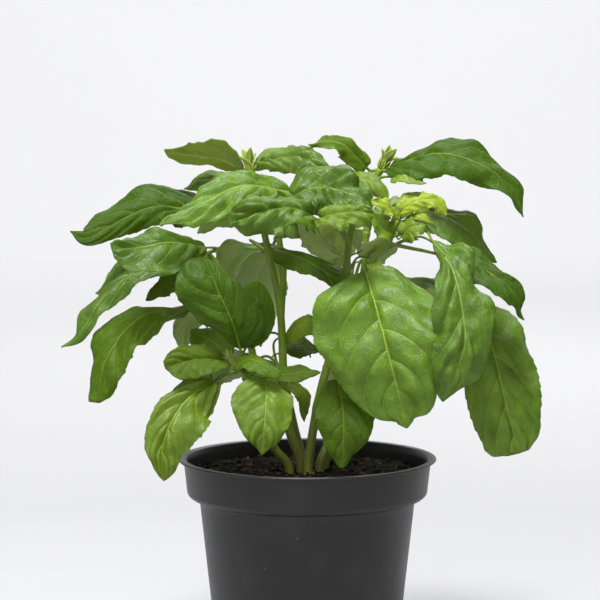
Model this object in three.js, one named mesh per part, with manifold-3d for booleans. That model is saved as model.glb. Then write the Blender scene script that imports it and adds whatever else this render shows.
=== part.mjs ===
// Potted basil plant: a thin plastic nursery pot filled with soil, with six leafy basil stems.
// Millimetres, +Z up. The origin is the centre of the pot's underside, and -Y faces the viewer.
import * as THREE from "three";
import { mergeVertices } from "three/addons/utils/BufferGeometryUtils.js";
import Module from "manifold-3d";

const wasm = await Module();
wasm.setup();

// Pot, a round 13 cm nursery pot of thin moulded plastic
const POT_HEIGHT = 112;
const LIP_RADIUS = 66.5;
const LIP_THICK = 1.1;
const COLLAR_TOP_RADIUS = 63.6;
const COLLAR_FOOT_RADIUS = 62;
const COLLAR_HEIGHT = 21;
const COLLAR_ROUND = 4.2;
const BODY_TOP_RADIUS = 55.6;
const FOOT_RADIUS = 45.8;
const FOOT_ROUND = 2;
const WALL = 1.3;
const BASE_RAISED = 3;
const BASE_SLOPE = 2;
const INSIDE_ROUND = 1;
const BASE_RING_RADIUS = 36;
const BASE_DISC_RADIUS = 15;
const DRAIN_HOLES = 8;
const DRAIN_RADIUS = 3.6;
const DRAIN_CIRCLE = 25.5;
const DRAIN_SIDES = 8;
const POT_SIDES = 32;

// Soil, filled to a finger's width under the lip
const SOIL_TOP = 104;
const SOIL_GAP = 0.3;
const SOIL_SWELL = 0.65;
const SOIL_SWELL_TURN = 0.1;
const SOIL_CRUMB = 0.45;
const SOIL_SHOULDER = 1.5;
const SOIL_RINGS = 4;
const STEM_HOLE_BOTTOM = 70;
const STEM_HOLE_GAP = 1;
const STEM_HOLE_SIDES = 10;

// Leaves and stems
const BLADE_THICK = 0.6;
const BLADE_END = 0.4;
const BLADE_ROW = 12;
const BLADE_ROWS_LEAST = 3;
const BLADE_ROWS_MOST = 6;
const BLADE_WIDE = 13;
const WAVES_ALONG = 2.5;
const WAVE_NAME_STEP = 0.13;
const WAVE_SIDE_STEP = 0.37;
const WAVE_ENDS = 4;
const PETIOLE_RADIUS = 1.15;
const PETIOLE_TIP_RADIUS = 0.8;
const PETIOLE_SIDES = 4;
const PETIOLE_SWING = 0.35;
const PETIOLE_SINK = 0.07;
const PETIOLE_LONG = 16;
const STEM_SIDES = 8;
const STEM_STEP = 20;
const STEM_STEPS_LEAST = 4;
const STEM_SQUARENESS = 0.1;
const STEEP = 0.8;
const BUD_TURN = 35;
const BUD_SINK = 0.8;
const BUD_LEANS = [0.5, 0.9];
const BUD_LENGTHS = [1, 0.75];
const BUD_HALF = 0.2;
const BUD_FOLD = [25, 10];
const BUD_ENDS = [0.5, 0.9];
const BUD_FACE_UP = 0.4;

// Each shoot: its points from the buried foot up, and its radius at the foot and at the tip.
// A shoot that starts in the air branches off another shoot of the same stem.
const SHOOTS = [
  {
    name: "left",
    stem: "leafy_stem_left",
    points: [[-9.5, -12, 72], [-9.5, -12, 88], [-9.5, -12, 109], [-17.5, -14, 120], [-23.5, -9, 143],
      [-28.5, -2, 168], [-35.5, 4, 190], [-44.5, 8, 207], [-51.5, 10, 216]],
    radii: [2.2, 1.5],
    bud: 0,
  },
  {
    name: "low",
    stem: "leafy_stem_left",
    points: [[-16.5, -14, 117], [-20.5, -20, 132], [-25.5, -25, 146], [-30.5, -28, 157], [-36.5, -28, 164]],
    radii: [1.6, 1.2],
    bud: 8,
  },
  {
    name: "tall",
    stem: "leafy_stem_tall",
    points: [[-3.5, -5, 72], [-3.5, -5, 88], [-3.5, -5, 109], [-9.5, -7, 128], [-12.5, -6, 153],
      [-12.5, -3, 168], [-14.5, 0, 193], [-19.5, 2, 216], [-24.5, 3, 239], [-28.5, 4, 258]],
    radii: [2.3, 1.4],
    bud: 13,
  },
  {
    name: "right",
    stem: "leafy_stem_right",
    points: [[0.5, -16, 72], [0.5, -16, 88], [0.5, -16, 109], [2.5, -19, 126], [7.5, -25, 153],
      [17.5, -31, 186], [27.5, -33, 209], [32.5, -33, 216], [39.5, -32, 225], [44.5, -31, 236]],
    radii: [2.3, 1.5],
    bud: 9,
  },
  {
    name: "back right",
    stem: "leafy_stem_back_right",
    points: [[6.5, -7, 72], [6.5, -7, 88], [6.5, -7, 109], [11.5, -3, 121], [19.5, 2, 152], [22.5, 6, 182],
      [20.5, 6, 212], [23.5, 4, 232], [31.5, 3, 249], [37.5, 3, 260]],
    radii: [2.3, 1.4],
    bud: 13,
  },
  {
    name: "centre",
    stem: "leafy_stem_back_right",
    points: [[21.5, 5, 222], [15.5, -6, 232], [8.5, -16, 238], [2.5, -22, 242]],
    radii: [1.5, 1.2],
    bud: 0,
  },
  {
    name: "rear left",
    stem: "leafy_stem_rear_left",
    points: [[-2.5, 8, 72], [-2.5, 8, 88], [-2.5, 8, 109], [-6.5, 12, 125], [-11.5, 18, 150],
      [-13.5, 25, 180], [-12.5, 31, 205], [-15.5, 36, 228]],
    radii: [2.2, 1.4],
    bud: 10,
  },
  {
    name: "rear right",
    stem: "leafy_stem_rear_right",
    points: [[9.5, 6, 72], [9.5, 6, 88], [9.5, 6, 109], [15.5, 11, 125], [21.5, 17, 150], [26.5, 23, 180],
      [29.5, 30, 205], [31.5, 36, 226]],
    radii: [2.2, 1.4],
    bud: 10,
  },
];

// Each leaf, seen with its upper face towards the eye:
// shoot and along: the shoot that its petiole leaves, and how far along it;
// rib: points of the midrib from the blade's base to its tip;
// faces: the way that the upper face looks, from the base to the tip;
// halves: the widths of the two halves, the first on the side of rib direction x face direction;
// fold: the rise of each half at the midrib and at the margin, in degrees;
// ends: how full the outline is at the base and at the tip, for both halves or for each;
// ruffle: the height of the margin's waves.
const LEAVES = [
  { name: "upper left", shoot: "tall", along: 0.9,
    rib: [[-50.5, 16, 237], [-64.5, 12, 240], [-80.5, 6, 240], [-100.5, -2, 231], [-113.5, -6, 225],
      [-120.5, -6, 229]],
    faces: [[-0.1, -0.75, 0.65], [-0.2, -0.7, 0.7]], halves: [20, 12],
    fold: [8, -24], ends: [0.5, 0.95], ruffle: 0.8 },
  { name: "top left", shoot: "tall", along: 1,
    rib: [[-32.5, 9, 260], [-43.5, 12, 265], [-58.5, 14, 267], [-73.5, 12, 270]],
    faces: [[0, 0.6, 0.8], [0, 0.6, 0.8]], halves: [17, 14],
    fold: [6, 16], ends: [0.6, 0.8, 0.45, 0.8], ruffle: 0.6 },
  { name: "behind glossy", shoot: "tall", along: 0.93,
    rib: [[-36.5, 21, 248], [-53.5, 29, 254], [-64.5, 32, 249]],
    faces: [[0, -0.5, 0.85], [-0.2, -0.5, 0.85]], halves: [9, 9],
    fold: [0, -20], ends: [0.6, 0.9], ruffle: 0.6 },
  { name: "under glossy", shoot: "tall", along: 0.88,
    rib: [[-28.5, 5, 238], [-40.5, 8, 236], [-56.5, 8, 227]],
    faces: [[0, 0.5, 0.85], [0, 0.5, 0.85]], halves: [9, 9],
    fold: [0, -15], ends: [0.6, 0.9], ruffle: 0.6 },
  { name: "young rounded", shoot: "tall", along: 1,
    rib: [[-26.5, 6, 263], [-19.5, 8, 269], [-8.5, 9, 270]],
    faces: [[0, -0.6, 0.8], [0.1, -0.6, 0.8]], halves: [7, 6],
    fold: [10, -50], ends: [0.5, 0.6], ruffle: 0.5 },
  { name: "striped", shoot: "tall", along: 0.98,
    rib: [[-23.5, -1, 262], [-12.5, -5, 266], [0.5, -9, 264], [13.5, -12, 255]],
    faces: [[0, -0.6, 0.8], [0.1, -0.6, 0.8]], halves: [9, 8.5],
    fold: [18, -30], ends: [0.5, 0.8], ruffle: 1.6 },
  { name: "dark crossing", shoot: "tall", along: 0.78,
    rib: [[-25.5, 12, 222], [-6.5, 6, 216], [9.5, -3, 207], [23.5, -12, 196]],
    faces: [[0.1, -0.5, 0.85], [0.3, -0.6, 0.7]], halves: [9, 10],
    fold: [0, -20], ends: [0.6, 0.9], ruffle: 0.6 },
  { name: "behind middle", shoot: "tall", along: 0.35,
    rib: [[-9.5, -13, 152], [-0.5, -17, 147], [-1.5, -18, 133]],
    faces: [[0.6, -0.6, 0.4], [0.7, -0.6, 0.1]], halves: [6, 6],
    fold: [0, -30], ends: [0.6, 0.9], ruffle: 0.6 },
  { name: "behind largest high", shoot: "tall", along: 0.42,
    rib: [[-11.5, 2, 175], [-3.5, -6, 181], [8.5, -12, 180]],
    faces: [[0, -0.65, 0.75], [0.1, -0.65, 0.75]], halves: [10, 9],
    fold: [0, -20], ends: [0.6, 0.9], ruffle: 0.6 },
  { name: "behind largest low", shoot: "tall", along: 0.4,
    rib: [[-11.5, 6, 166], [-2.5, 12, 169], [7.5, 16, 166]],
    faces: [[0, -0.6, 0.8], [0.1, -0.6, 0.8]], halves: [9, 9],
    fold: [0, -20], ends: [0.6, 0.9], ruffle: 0.6 },
  { name: "pale left", shoot: "left", along: 1,
    rib: [[-51.5, -6, 221], [-68.5, -20, 224], [-83.5, -26, 222], [-97.5, -30, 221]],
    faces: [[0, -0.7, 0.7], [-0.1, -0.75, 0.65]], halves: [10, 18],
    fold: [4, -20], ends: [0.5, 0.5], ruffle: 0.9 },
  { name: "long left", shoot: "left", along: 0.96,
    rib: [[-62.5, 6, 212], [-85.5, 0, 208], [-103.5, -4, 195], [-116.5, -8, 176], [-125.5, -8, 170]],
    faces: [[-0.2, -0.5, 0.8], [-0.7, -0.5, 0.5]], halves: [14, 10],
    fold: [0, -20], ends: [0.6, 0.9], ruffle: 0.8 },
  { name: "ruffled rear left", shoot: "left", along: 0.96,
    rib: [[-64.5, 18, 212], [-84.5, 26, 212], [-100.5, 30, 207], [-111.5, 32, 194]],
    faces: [[-0.2, -0.3, 0.9], [-0.6, -0.3, 0.7]], halves: [10, 10],
    fold: [0, -20], ends: [0.6, 0.8], ruffle: 1.4 },
  { name: "arching left", shoot: "left", along: 0.72,
    rib: [[-60.5, -4, 190], [-79.5, -12, 188], [-93.5, -16, 178], [-101.5, -20, 164], [-105.5, -22, 143]],
    faces: [[-0.1, -0.6, 0.8], [-0.4, -0.7, 0.5], [-0.6, -0.75, 0.1]], halves: [14, 14],
    fold: [0, -25], ends: [0.7, 0.42, 0.5, 0.5], ruffle: 0.9 },
  { name: "small dark left", shoot: "left", along: 0.86,
    rib: [[-58.5, 10, 202], [-70.5, 12, 201], [-83.5, 12, 192]],
    faces: [[-0.2, -0.6, 0.75], [-0.3, -0.6, 0.7]], halves: [9, 8],
    fold: [0, -20], ends: [0.6, 0.9], ruffle: 0.6 },
  { name: "sliver left", shoot: "left", along: 0.98,
    rib: [[-52.5, 12, 217], [-45.5, 14, 219], [-36.5, 16, 222]],
    faces: [[0.2, 0.4, 0.85], [0.2, 0.4, 0.85]], halves: [3, 3],
    fold: [0, -15], ends: [0.6, 0.9], ruffle: 0.3 },
  { name: "pale low left", shoot: "left", along: 0.6,
    rib: [[-44.5, 18, 185], [-60.5, 24, 181], [-65.5, 26, 165]],
    faces: [[-0.3, 0.5, 0.8], [-0.5, 0.6, 0.6]], halves: [11, 11],
    fold: [0, -20], ends: [0.6, 0.8], ruffle: 0.8 },
  { name: "upright", shoot: "low", along: 1,
    rib: [[-33.5, -30, 171], [-37.5, -37, 186], [-44.5, -39, 202], [-51.5, -31, 218]],
    faces: [[0.05, -0.95, 0.3], [0.1, -0.95, 0.2], [0.2, -0.9, 0.4]], halves: [14, 20],
    fold: [12, -30], ends: [0.4, 0.9, 0.9, 0.45], ruffle: 0.8 },
  { name: "upright lobe", shoot: "low", along: 0.97,
    rib: [[-30.5, -24, 172], [-25.5, -27, 181], [-24.5, -28, 192], [-28.5, -26, 205]],
    faces: [[0.1, -0.95, 0.2], [0.1, -0.95, 0.2]], halves: [8.5, 9],
    fold: [10, -30], ends: [0.5, 0.5], ruffle: 0.7 },
  { name: "below upright", shoot: "low", along: 0.93,
    rib: [[-38.5, -14, 166], [-47.5, -8, 172], [-59.5, 0, 178]],
    faces: [[-0.1, -0.7, 0.7], [-0.2, -0.7, 0.7]], halves: [9, 11],
    fold: [0, -20], ends: [0.6, 0.7], ruffle: 0.6 },
  { name: "cupped left", shoot: "low", along: 1,
    rib: [[-41.5, -29, 165], [-51.5, -36, 167], [-61.5, -40, 166], [-70.5, -42, 163]],
    faces: [[0, -0.75, 0.65], [-0.1, -0.8, 0.6]], halves: [9, 13],
    fold: [20, 10], ends: [0.5, 0.5], ruffle: 0.8 },
  { name: "low left", shoot: "low", along: 0.92,
    rib: [[-46.5, -36, 156], [-58.5, -45, 149], [-67.5, -52, 137], [-71.5, -55, 124], [-70.5, -56, 109]],
    faces: [[-0.2, -0.85, 0.45], [-0.1, -0.95, 0.2], [0, -1, 0.05]], halves: [11.5, 17.5],
    fold: [8, -22], ends: [0.5, 0.8], ruffle: 0.9 },
  { name: "low middle", shoot: "low", along: 0.85,
    rib: [[-20.5, -40, 157], [-20.5, -48, 146], [-21.5, -52, 134], [-22.5, -50, 121]],
    faces: [[0, -0.85, 0.5], [0, -0.98, 0.1]], halves: [17.5, 15.5],
    fold: [8, -22], ends: [0.42, 0.85], ruffle: 0.7 },
  { name: "small cupped", shoot: "low", along: 0.97,
    rib: [[-35.5, -32, 164], [-27.5, -38, 167], [-19.5, -43, 163], [-13.5, -45, 159]],
    faces: [[0, -0.6, 0.8], [0.1, -0.6, 0.8]], halves: [7, 6],
    fold: [10, -40], ends: [0.5, 0.7], ruffle: 0.6 },
  { name: "small right", shoot: "low", along: 0.85,
    rib: [[-16.5, -33, 158], [-4.5, -32, 160], [6.5, -34, 160]],
    faces: [[0, -0.6, 0.8], [0.1, -0.6, 0.8]], halves: [6, 6],
    fold: [0, -20], ends: [0.6, 0.9], ruffle: 0.5 },
  { name: "glossy", shoot: "centre", along: 1,
    rib: [[-8.5, -10, 249], [-31.5, -22, 253], [-50.5, -32, 246], [-73.5, -38, 234]],
    faces: [[0, -0.6, 0.8], [-0.2, -0.6, 0.8]], halves: [14, 18],
    fold: [6, -24], ends: [0.6, 1], ruffle: 1 },
  { name: "centre broad", shoot: "centre", along: 0.96,
    rib: [[-6.5, -24, 247], [3.5, -28, 253], [17.5, -34, 251], [32.5, -36, 243]],
    faces: [[0, -0.65, 0.75], [0.1, -0.7, 0.7]], halves: [16, 16],
    fold: [6, -30], ends: [0.5, 0.6], ruffle: 2.2 },
  { name: "centre left", shoot: "centre", along: 1,
    rib: [[2.5, -38, 238], [-8.5, -42, 242], [-22.5, -48, 240], [-38.5, -48, 234]],
    faces: [[0, -0.75, 0.65], [0, -0.75, 0.65]], halves: [14, 15],
    fold: [10, -30], ends: [0.4, 0.7], ruffle: 2.4 },
  { name: "centre small", shoot: "centre", along: 1,
    rib: [[6.5, -43, 237], [12.5, -50, 240], [22.5, -54, 241], [32.5, -52, 240]],
    faces: [[0, -0.8, 0.6], [0, -0.8, 0.6]], halves: [10, 9],
    fold: [10, -30], ends: [0.4, 0.6], ruffle: 2 },
  { name: "centre right", shoot: "centre", along: 0.9,
    rib: [[14.5, -8, 254], [26.5, -14, 256], [35.5, -20, 253], [40.5, -22, 246]],
    faces: [[0, -0.6, 0.8], [0.2, -0.7, 0.7]], halves: [10, 7],
    fold: [0, -30], ends: [0.5, 0.7], ruffle: 0.6 },
  { name: "top right", shoot: "back right", along: 1,
    rib: [[41.5, 0, 260], [55.5, -8, 267], [69.5, -14, 269], [85.5, -18, 264], [99.5, -20, 253],
      [108.5, -20, 237]],
    faces: [[0, -0.5, 0.85], [0.1, -0.6, 0.75], [0.4, -0.75, 0.5]], halves: [17, 17],
    fold: [6, -34], ends: [0.5, 1.15, 0.6, 1.1], ruffle: 1.1 },
  { name: "top middle", shoot: "back right", along: 1,
    rib: [[30.5, 4, 261], [23.5, 1, 268], [18.5, -2, 273], [9.5, -5, 275], [0.5, -8, 273]],
    faces: [[-0.3, -0.75, 0.5], [-0.2, -0.7, 0.65]], halves: [6, 7],
    fold: [10, -30], ends: [0.5, 0.8], ruffle: 0.8 },
  { name: "top right small", shoot: "back right", along: 0.97,
    rib: [[42.5, -8, 257], [50.5, -17, 258], [59.5, -22, 254]],
    faces: [[0, -0.6, 0.8], [0.2, -0.6, 0.8]], halves: [7, 6],
    fold: [0, -20], ends: [0.6, 0.9], ruffle: 0.4 },
  { name: "rear pale centre", shoot: "back right", along: 0.72,
    rib: [[17.5, 14, 216], [6.5, 18, 221], [-5.5, 24, 230], [-14.5, 30, 234]],
    faces: [[0, 0.6, 0.8], [0, 0.6, 0.8]], halves: [13, 13],
    fold: [0, -20], ends: [0.6, 0.9], ruffle: 0.8 },
  { name: "rear pale right", shoot: "back right", along: 0.72,
    rib: [[25.5, 12, 217], [34.5, 16, 222], [45.5, 20, 226]],
    faces: [[0, 0.5, 0.85], [0, 0.5, 0.85]], halves: [10, 9],
    fold: [0, -20], ends: [0.6, 0.9], ruffle: 0.8 },
  { name: "rear grey right", shoot: "back right", along: 0.7,
    rib: [[31.5, 18, 214], [40.5, 24, 214], [47.5, 32, 218]],
    faces: [[0, 0.7, 0.7], [0, 0.7, 0.7]], halves: [7, 7],
    fold: [0, -20], ends: [0.6, 0.9], ruffle: 0.8 },
  { name: "largest", shoot: "right", along: 0.72,
    rib: [[28.5, -42, 211], [34.5, -58, 191], [40.5, -65, 168], [48.5, -62, 136]],
    faces: [[0.15, -0.75, 0.6], [-0.1, -0.9, 0.4], [-0.2, -1, 0.1], [-0.1, -1, -0.1]], halves: [33, 31],
    fold: [10, -22], ends: [0.34, 0.55, 0.28, 0.52], ruffle: 0.45 },
  { name: "small at largest", shoot: "right", along: 0.74,
    rib: [[29.5, -34, 214], [35.5, -38, 213], [42.5, -38, 209]],
    faces: [[0, -0.5, 0.85], [0.1, -0.5, 0.85]], halves: [4, 4],
    fold: [0, -20], ends: [0.6, 0.9], ruffle: 0.3 },
  { name: "low right", shoot: "right", along: 0.4,
    rib: [[14.5, -44, 158], [17.5, -54, 143], [17.5, -57, 128], [16.5, -56, 115]],
    faces: [[0, -0.85, 0.5], [0, -0.98, 0.1]], halves: [15, 16],
    fold: [8, -22], ends: [0.5, 0.75], ruffle: 0.7 },
  { name: "front right", shoot: "right", along: 0.95,
    rib: [[61.5, -42, 227], [68.5, -55, 218], [73.5, -66, 202], [75.5, -71, 181], [71.5, -72, 165],
      [65.5, -69, 150]],
    faces: [[0.2, -0.7, 0.7], [0.25, -0.95, 0.1], [0.2, -0.95, -0.2]], halves: [15, 15],
    fold: [0, -30], ends: [1, 0.6, 0.7, 0.85], ruffle: 1.2 },
  { name: "far right", shoot: "right", along: 0.93,
    rib: [[83.5, -12, 195], [92.5, -24, 172], [98.5, -32, 147], [105.5, -34, 119]],
    faces: [[0.3, -0.85, 0.4], [0.3, -0.9, 0.3]], halves: [19.5, 21.5],
    fold: [6, -14], ends: [0.4, 0.22, 0.35, 0.38], ruffle: 0.55 },
  { name: "right shoulder", shoot: "right", along: 0.9,
    rib: [[65.5, -24, 223], [80.5, -32, 216], [93.5, -39, 208], [103.5, -41, 197], [107.5, -41, 187]],
    faces: [[0, -0.5, 0.85], [0.4, -0.6, 0.7], [0.8, -0.5, 0.3]], halves: [14, 10],
    fold: [0, -24], ends: [0.6, 0.9], ruffle: 0.8 },
  { name: "right broad", shoot: "right", along: 0.93,
    rib: [[55.5, -6, 240], [69.5, -8, 237], [83.5, -8, 228], [96.5, -6, 213]],
    faces: [[0.1, -0.6, 0.8], [0.3, -0.6, 0.75]], halves: [15, 11],
    fold: [0, -20], ends: [0.5, 0.8], ruffle: 0.6 },
  { name: "young up", shoot: "right", along: 1,
    rib: [[44.5, -31, 238], [39.5, -36, 243], [31.5, -38, 246]],
    faces: [[-0.2, -0.6, 0.7], [-0.2, -0.7, 0.7]], halves: [6, 5],
    fold: [10, -20], ends: [0.5, 0.8], ruffle: 1.2 },
  { name: "young arching", shoot: "right", along: 1,
    rib: [[46.5, -32, 240], [53.5, -35, 246], [62.5, -36, 246], [69.5, -35, 239]],
    faces: [[0, -0.6, 0.8], [0.3, -0.6, 0.7]], halves: [7, 6],
    fold: [10, -30], ends: [0.5, 0.7], ruffle: 1.4 },
  { name: "young cup", shoot: "right", along: 0.98,
    rib: [[42.5, -34, 229], [36.5, -38, 233], [32.5, -40, 240]],
    faces: [[0.1, -0.9, 0.4], [0.1, -0.9, 0.4]], halves: [7, 6],
    fold: [20, 0], ends: [0.5, 0.7], ruffle: 1 },
  { name: "young round", shoot: "right", along: 0.98,
    rib: [[46.5, -34, 228], [51.5, -38, 233], [58.5, -39, 234]],
    faces: [[0, -0.9, 0.4], [0, -0.9, 0.4]], halves: [7, 6],
    fold: [10, -25], ends: [0.5, 0.6], ruffle: 1.2 },
  { name: "young arching low", shoot: "right", along: 0.98,
    rib: [[48.5, -30, 236], [55.5, -37, 239], [63.5, -38, 234]],
    faces: [[0, -0.7, 0.7], [0.3, -0.7, 0.6]], halves: [3.5, 3.5],
    fold: [10, -30], ends: [0.6, 0.9], ruffle: 0.4 },
  { name: "young behind", shoot: "right", along: 1,
    rib: [[45.5, -25, 241], [51.5, -20, 247], [57.5, -16, 249]],
    faces: [[0, -0.6, 0.8], [0, -0.6, 0.8]], halves: [4, 4],
    fold: [10, -30], ends: [0.6, 0.9], ruffle: 0.4 },
  { name: "rear pale low", shoot: "rear left", along: 0.86,
    rib: [[-16.5, 36, 218], [-25.5, 40, 204], [-28.5, 40, 185], [-24.5, 38, 165]],
    faces: [[0, 0.8, 0.5], [0, 0.95, 0.2]], halves: [17, 14],
    fold: [0, -20], ends: [0.6, 0.9], ruffle: 0.8 },
  { name: "rear high left", shoot: "rear left", along: 1,
    rib: [[-23.5, 44, 236], [-36.5, 58, 242], [-50.5, 70, 238], [-62.5, 78, 227]],
    faces: [[-0.3, 0.5, 0.8], [-0.5, 0.6, 0.6]], halves: [16, 16],
    fold: [6, -24], ends: [0.55, 0.9], ruffle: 1 },
  { name: "rear middle", shoot: "rear left", along: 0.98,
    rib: [[-22.5, 50, 216], [-31.5, 64, 212], [-36.5, 78, 194], [-38.5, 84, 170]],
    faces: [[-0.2, 0.7, 0.7], [-0.1, 1, 0.1]], halves: [17, 17],
    fold: [6, -24], ends: [0.5, 0.8], ruffle: 1 },
  { name: "rear side left", shoot: "rear left", along: 0.58,
    rib: [[-24.5, 44, 172], [-40.5, 52, 172], [-52.5, 56, 160], [-56.5, 58, 142]],
    faces: [[-0.5, 0.6, 0.6], [-0.6, 0.8, 0.1]], halves: [14, 14],
    fold: [6, -24], ends: [0.5, 0.8], ruffle: 0.9 },
  { name: "rear low left", shoot: "rear left", along: 0.52,
    rib: [[-26.5, 30, 160], [-41.5, 38, 157], [-55.5, 44, 144], [-61.5, 48, 126]],
    faces: [[-0.5, 0.6, 0.6], [-0.5, 0.85, 0.1]], halves: [12, 12],
    fold: [6, -24], ends: [0.5, 0.8], ruffle: 0.8 },
  { name: "rear low centre", shoot: "rear left", along: 0.48,
    rib: [[-16.5, 36, 156], [-22.5, 50, 155], [-22.5, 62, 142], [-20.5, 68, 125]],
    faces: [[0, 0.7, 0.7], [0, 1, 0.1]], halves: [13, 13],
    fold: [6, -24], ends: [0.5, 0.8], ruffle: 0.8 },
  { name: "rear low middle", shoot: "rear right", along: 0.5,
    rib: [[23.5, 34, 160], [21.5, 50, 159], [21.5, 64, 144], [21.5, 72, 124]],
    faces: [[0, 0.7, 0.7], [0, 1, 0.1]], halves: [14, 14],
    fold: [6, -24], ends: [0.5, 0.8], ruffle: 0.8 },
  { name: "rear high right", shoot: "rear right", along: 1,
    rib: [[39.5, 46, 236], [51.5, 60, 241], [61.5, 70, 237], [71.5, 76, 227]],
    faces: [[0.3, 0.5, 0.8], [0.5, 0.6, 0.6]], halves: [16, 16],
    fold: [6, -24], ends: [0.55, 0.9], ruffle: 1 },
  { name: "rear centre", shoot: "rear right", along: 1,
    rib: [[24.5, 50, 227], [19.5, 66, 227], [15.5, 80, 217], [11.5, 88, 201]],
    faces: [[0, 0.6, 0.8], [0, 1, 0.3]], halves: [15, 15],
    fold: [6, -24], ends: [0.5, 0.8], ruffle: 0.9 },
  { name: "rear side right", shoot: "rear right", along: 0.78,
    rib: [[39.5, 42, 196], [57.5, 54, 196], [73.5, 64, 184], [83.5, 70, 162]],
    faces: [[0.5, 0.6, 0.6], [0.6, 0.8, 0.1]], halves: [18, 18],
    fold: [6, -24], ends: [0.5, 0.8], ruffle: 1 },
  { name: "rear low right", shoot: "rear right", along: 0.54,
    rib: [[33.5, 32, 165], [49.5, 44, 162], [59.5, 54, 148], [65.5, 62, 128]],
    faces: [[0.5, 0.6, 0.6], [0.5, 0.85, 0.1]], halves: [15, 15],
    fold: [6, -24], ends: [0.5, 0.8], ruffle: 0.8 },
  { name: "side right", shoot: "rear right", along: 0.8,
    rib: [[47.5, 22, 200], [65.5, 24, 200], [83.5, 24, 190], [95.5, 22, 170]],
    faces: [[0.4, 0.1, 0.9], [0.8, 0.2, 0.3]], halves: [15, 15],
    fold: [6, -24], ends: [0.55, 0.8], ruffle: 0.8 },
];

/** A plain material of one colour. */
function plainMaterial(name, color, roughness) {
  return new THREE.MeshStandardMaterial({ name, color, roughness, metalness: 0 });
}

const plastic = plainMaterial("pot plastic", 0x37383b, 0.45);
const earth = plainMaterial("potting soil", 0x2c2420, 0.95);
const foliage = plainMaterial("basil leaf", 0x5c8f3a, 0.5);

const radians = THREE.MathUtils.degToRad;
const lerp = THREE.MathUtils.lerp;

/** A repeatable noise between -1 and 1 for a whole number. */
function seeded(n) {
  const s = Math.sin(n * 12.9898 + 4.1414) * 43758.5453;
  return 2 * (s - Math.floor(s)) - 1;
}

/** A point or direction of three numbers as a vector. */
function vector(p) {
  return new THREE.Vector3(p[0], p[1], p[2]);
}

/** The smooth curve through the points. */
function curveThrough(points) {
  return new THREE.CatmullRomCurve3(points.map((p) => (p.isVector3 ? p : vector(p))), false, "centripetal");
}

/** A closed solid from a three.js geometry whose shared vertices are merged. */
function solidFromGeometry(geometry) {
  const bare = geometry.clone();
  bare.deleteAttribute("normal");
  bare.deleteAttribute("uv");
  const merged = mergeVertices(bare, 1e-4);
  const vertProperties = new Float32Array(merged.attributes.position.array);
  const triVerts = new Uint32Array(merged.index.array);
  return new wasm.Manifold(new wasm.Mesh({ numProp: 3, vertProperties, triVerts }));
}

/** A closed solid from a list of vectors and a list of triangles. */
function solidFromLists(points, triangles) {
  const vertProperties = new Float32Array(points.flatMap((p) => [p.x, p.y, p.z]));
  const triVerts = new Uint32Array(triangles.flat());
  return new wasm.Manifold(new wasm.Mesh({ numProp: 3, vertProperties, triVerts }));
}

/** A named mesh from a solid. */
function meshFromSolid(name, solid, material) {
  const result = solid.getMesh();
  const geometry = new THREE.BufferGeometry();
  geometry.setAttribute("position", new THREE.BufferAttribute(new Float32Array(result.vertProperties), 3));
  geometry.setIndex(new THREE.BufferAttribute(new Uint32Array(result.triVerts), 1));
  geometry.computeVertexNormals();
  const mesh = new THREE.Mesh(geometry, material);
  mesh.name = name;
  return mesh;
}

/** Points on an arc in the profile plane, from one angle to another in degrees. */
function arc(centreR, centreZ, radius, from, to, steps) {
  const points = [];
  for (let i = 0; i <= steps; i += 1) {
    const a = radians(lerp(from, to, i / steps));
    points.push(new THREE.Vector2(centreR + radius * Math.cos(a), centreZ + radius * Math.sin(a)));
  }
  return points;
}

/** The inner side of the pot, from the centre of its floor up to the lip: radius and height. */
function potInside(inset) {
  const step = WALL + inset;
  const foot = POT_HEIGHT - COLLAR_HEIGHT;
  const raised = BASE_RAISED + step;
  return [
    new THREE.Vector2(0, step),
    new THREE.Vector2(BASE_DISC_RADIUS - step, step),
    new THREE.Vector2(BASE_DISC_RADIUS + INSIDE_ROUND - inset, raised),
    new THREE.Vector2(BASE_RING_RADIUS - INSIDE_ROUND + inset, raised),
    new THREE.Vector2(BASE_RING_RADIUS + step, step),
    new THREE.Vector2(FOOT_RADIUS - step - INSIDE_ROUND, step),
    new THREE.Vector2(FOOT_RADIUS - step, step + INSIDE_ROUND),
    new THREE.Vector2(BODY_TOP_RADIUS - step, foot + step),
    ...arc(COLLAR_FOOT_RADIUS - COLLAR_ROUND, foot + COLLAR_ROUND, COLLAR_ROUND - step, -90, 0, 2),
    new THREE.Vector2(COLLAR_TOP_RADIUS - step, POT_HEIGHT - LIP_THICK),
  ];
}

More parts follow.
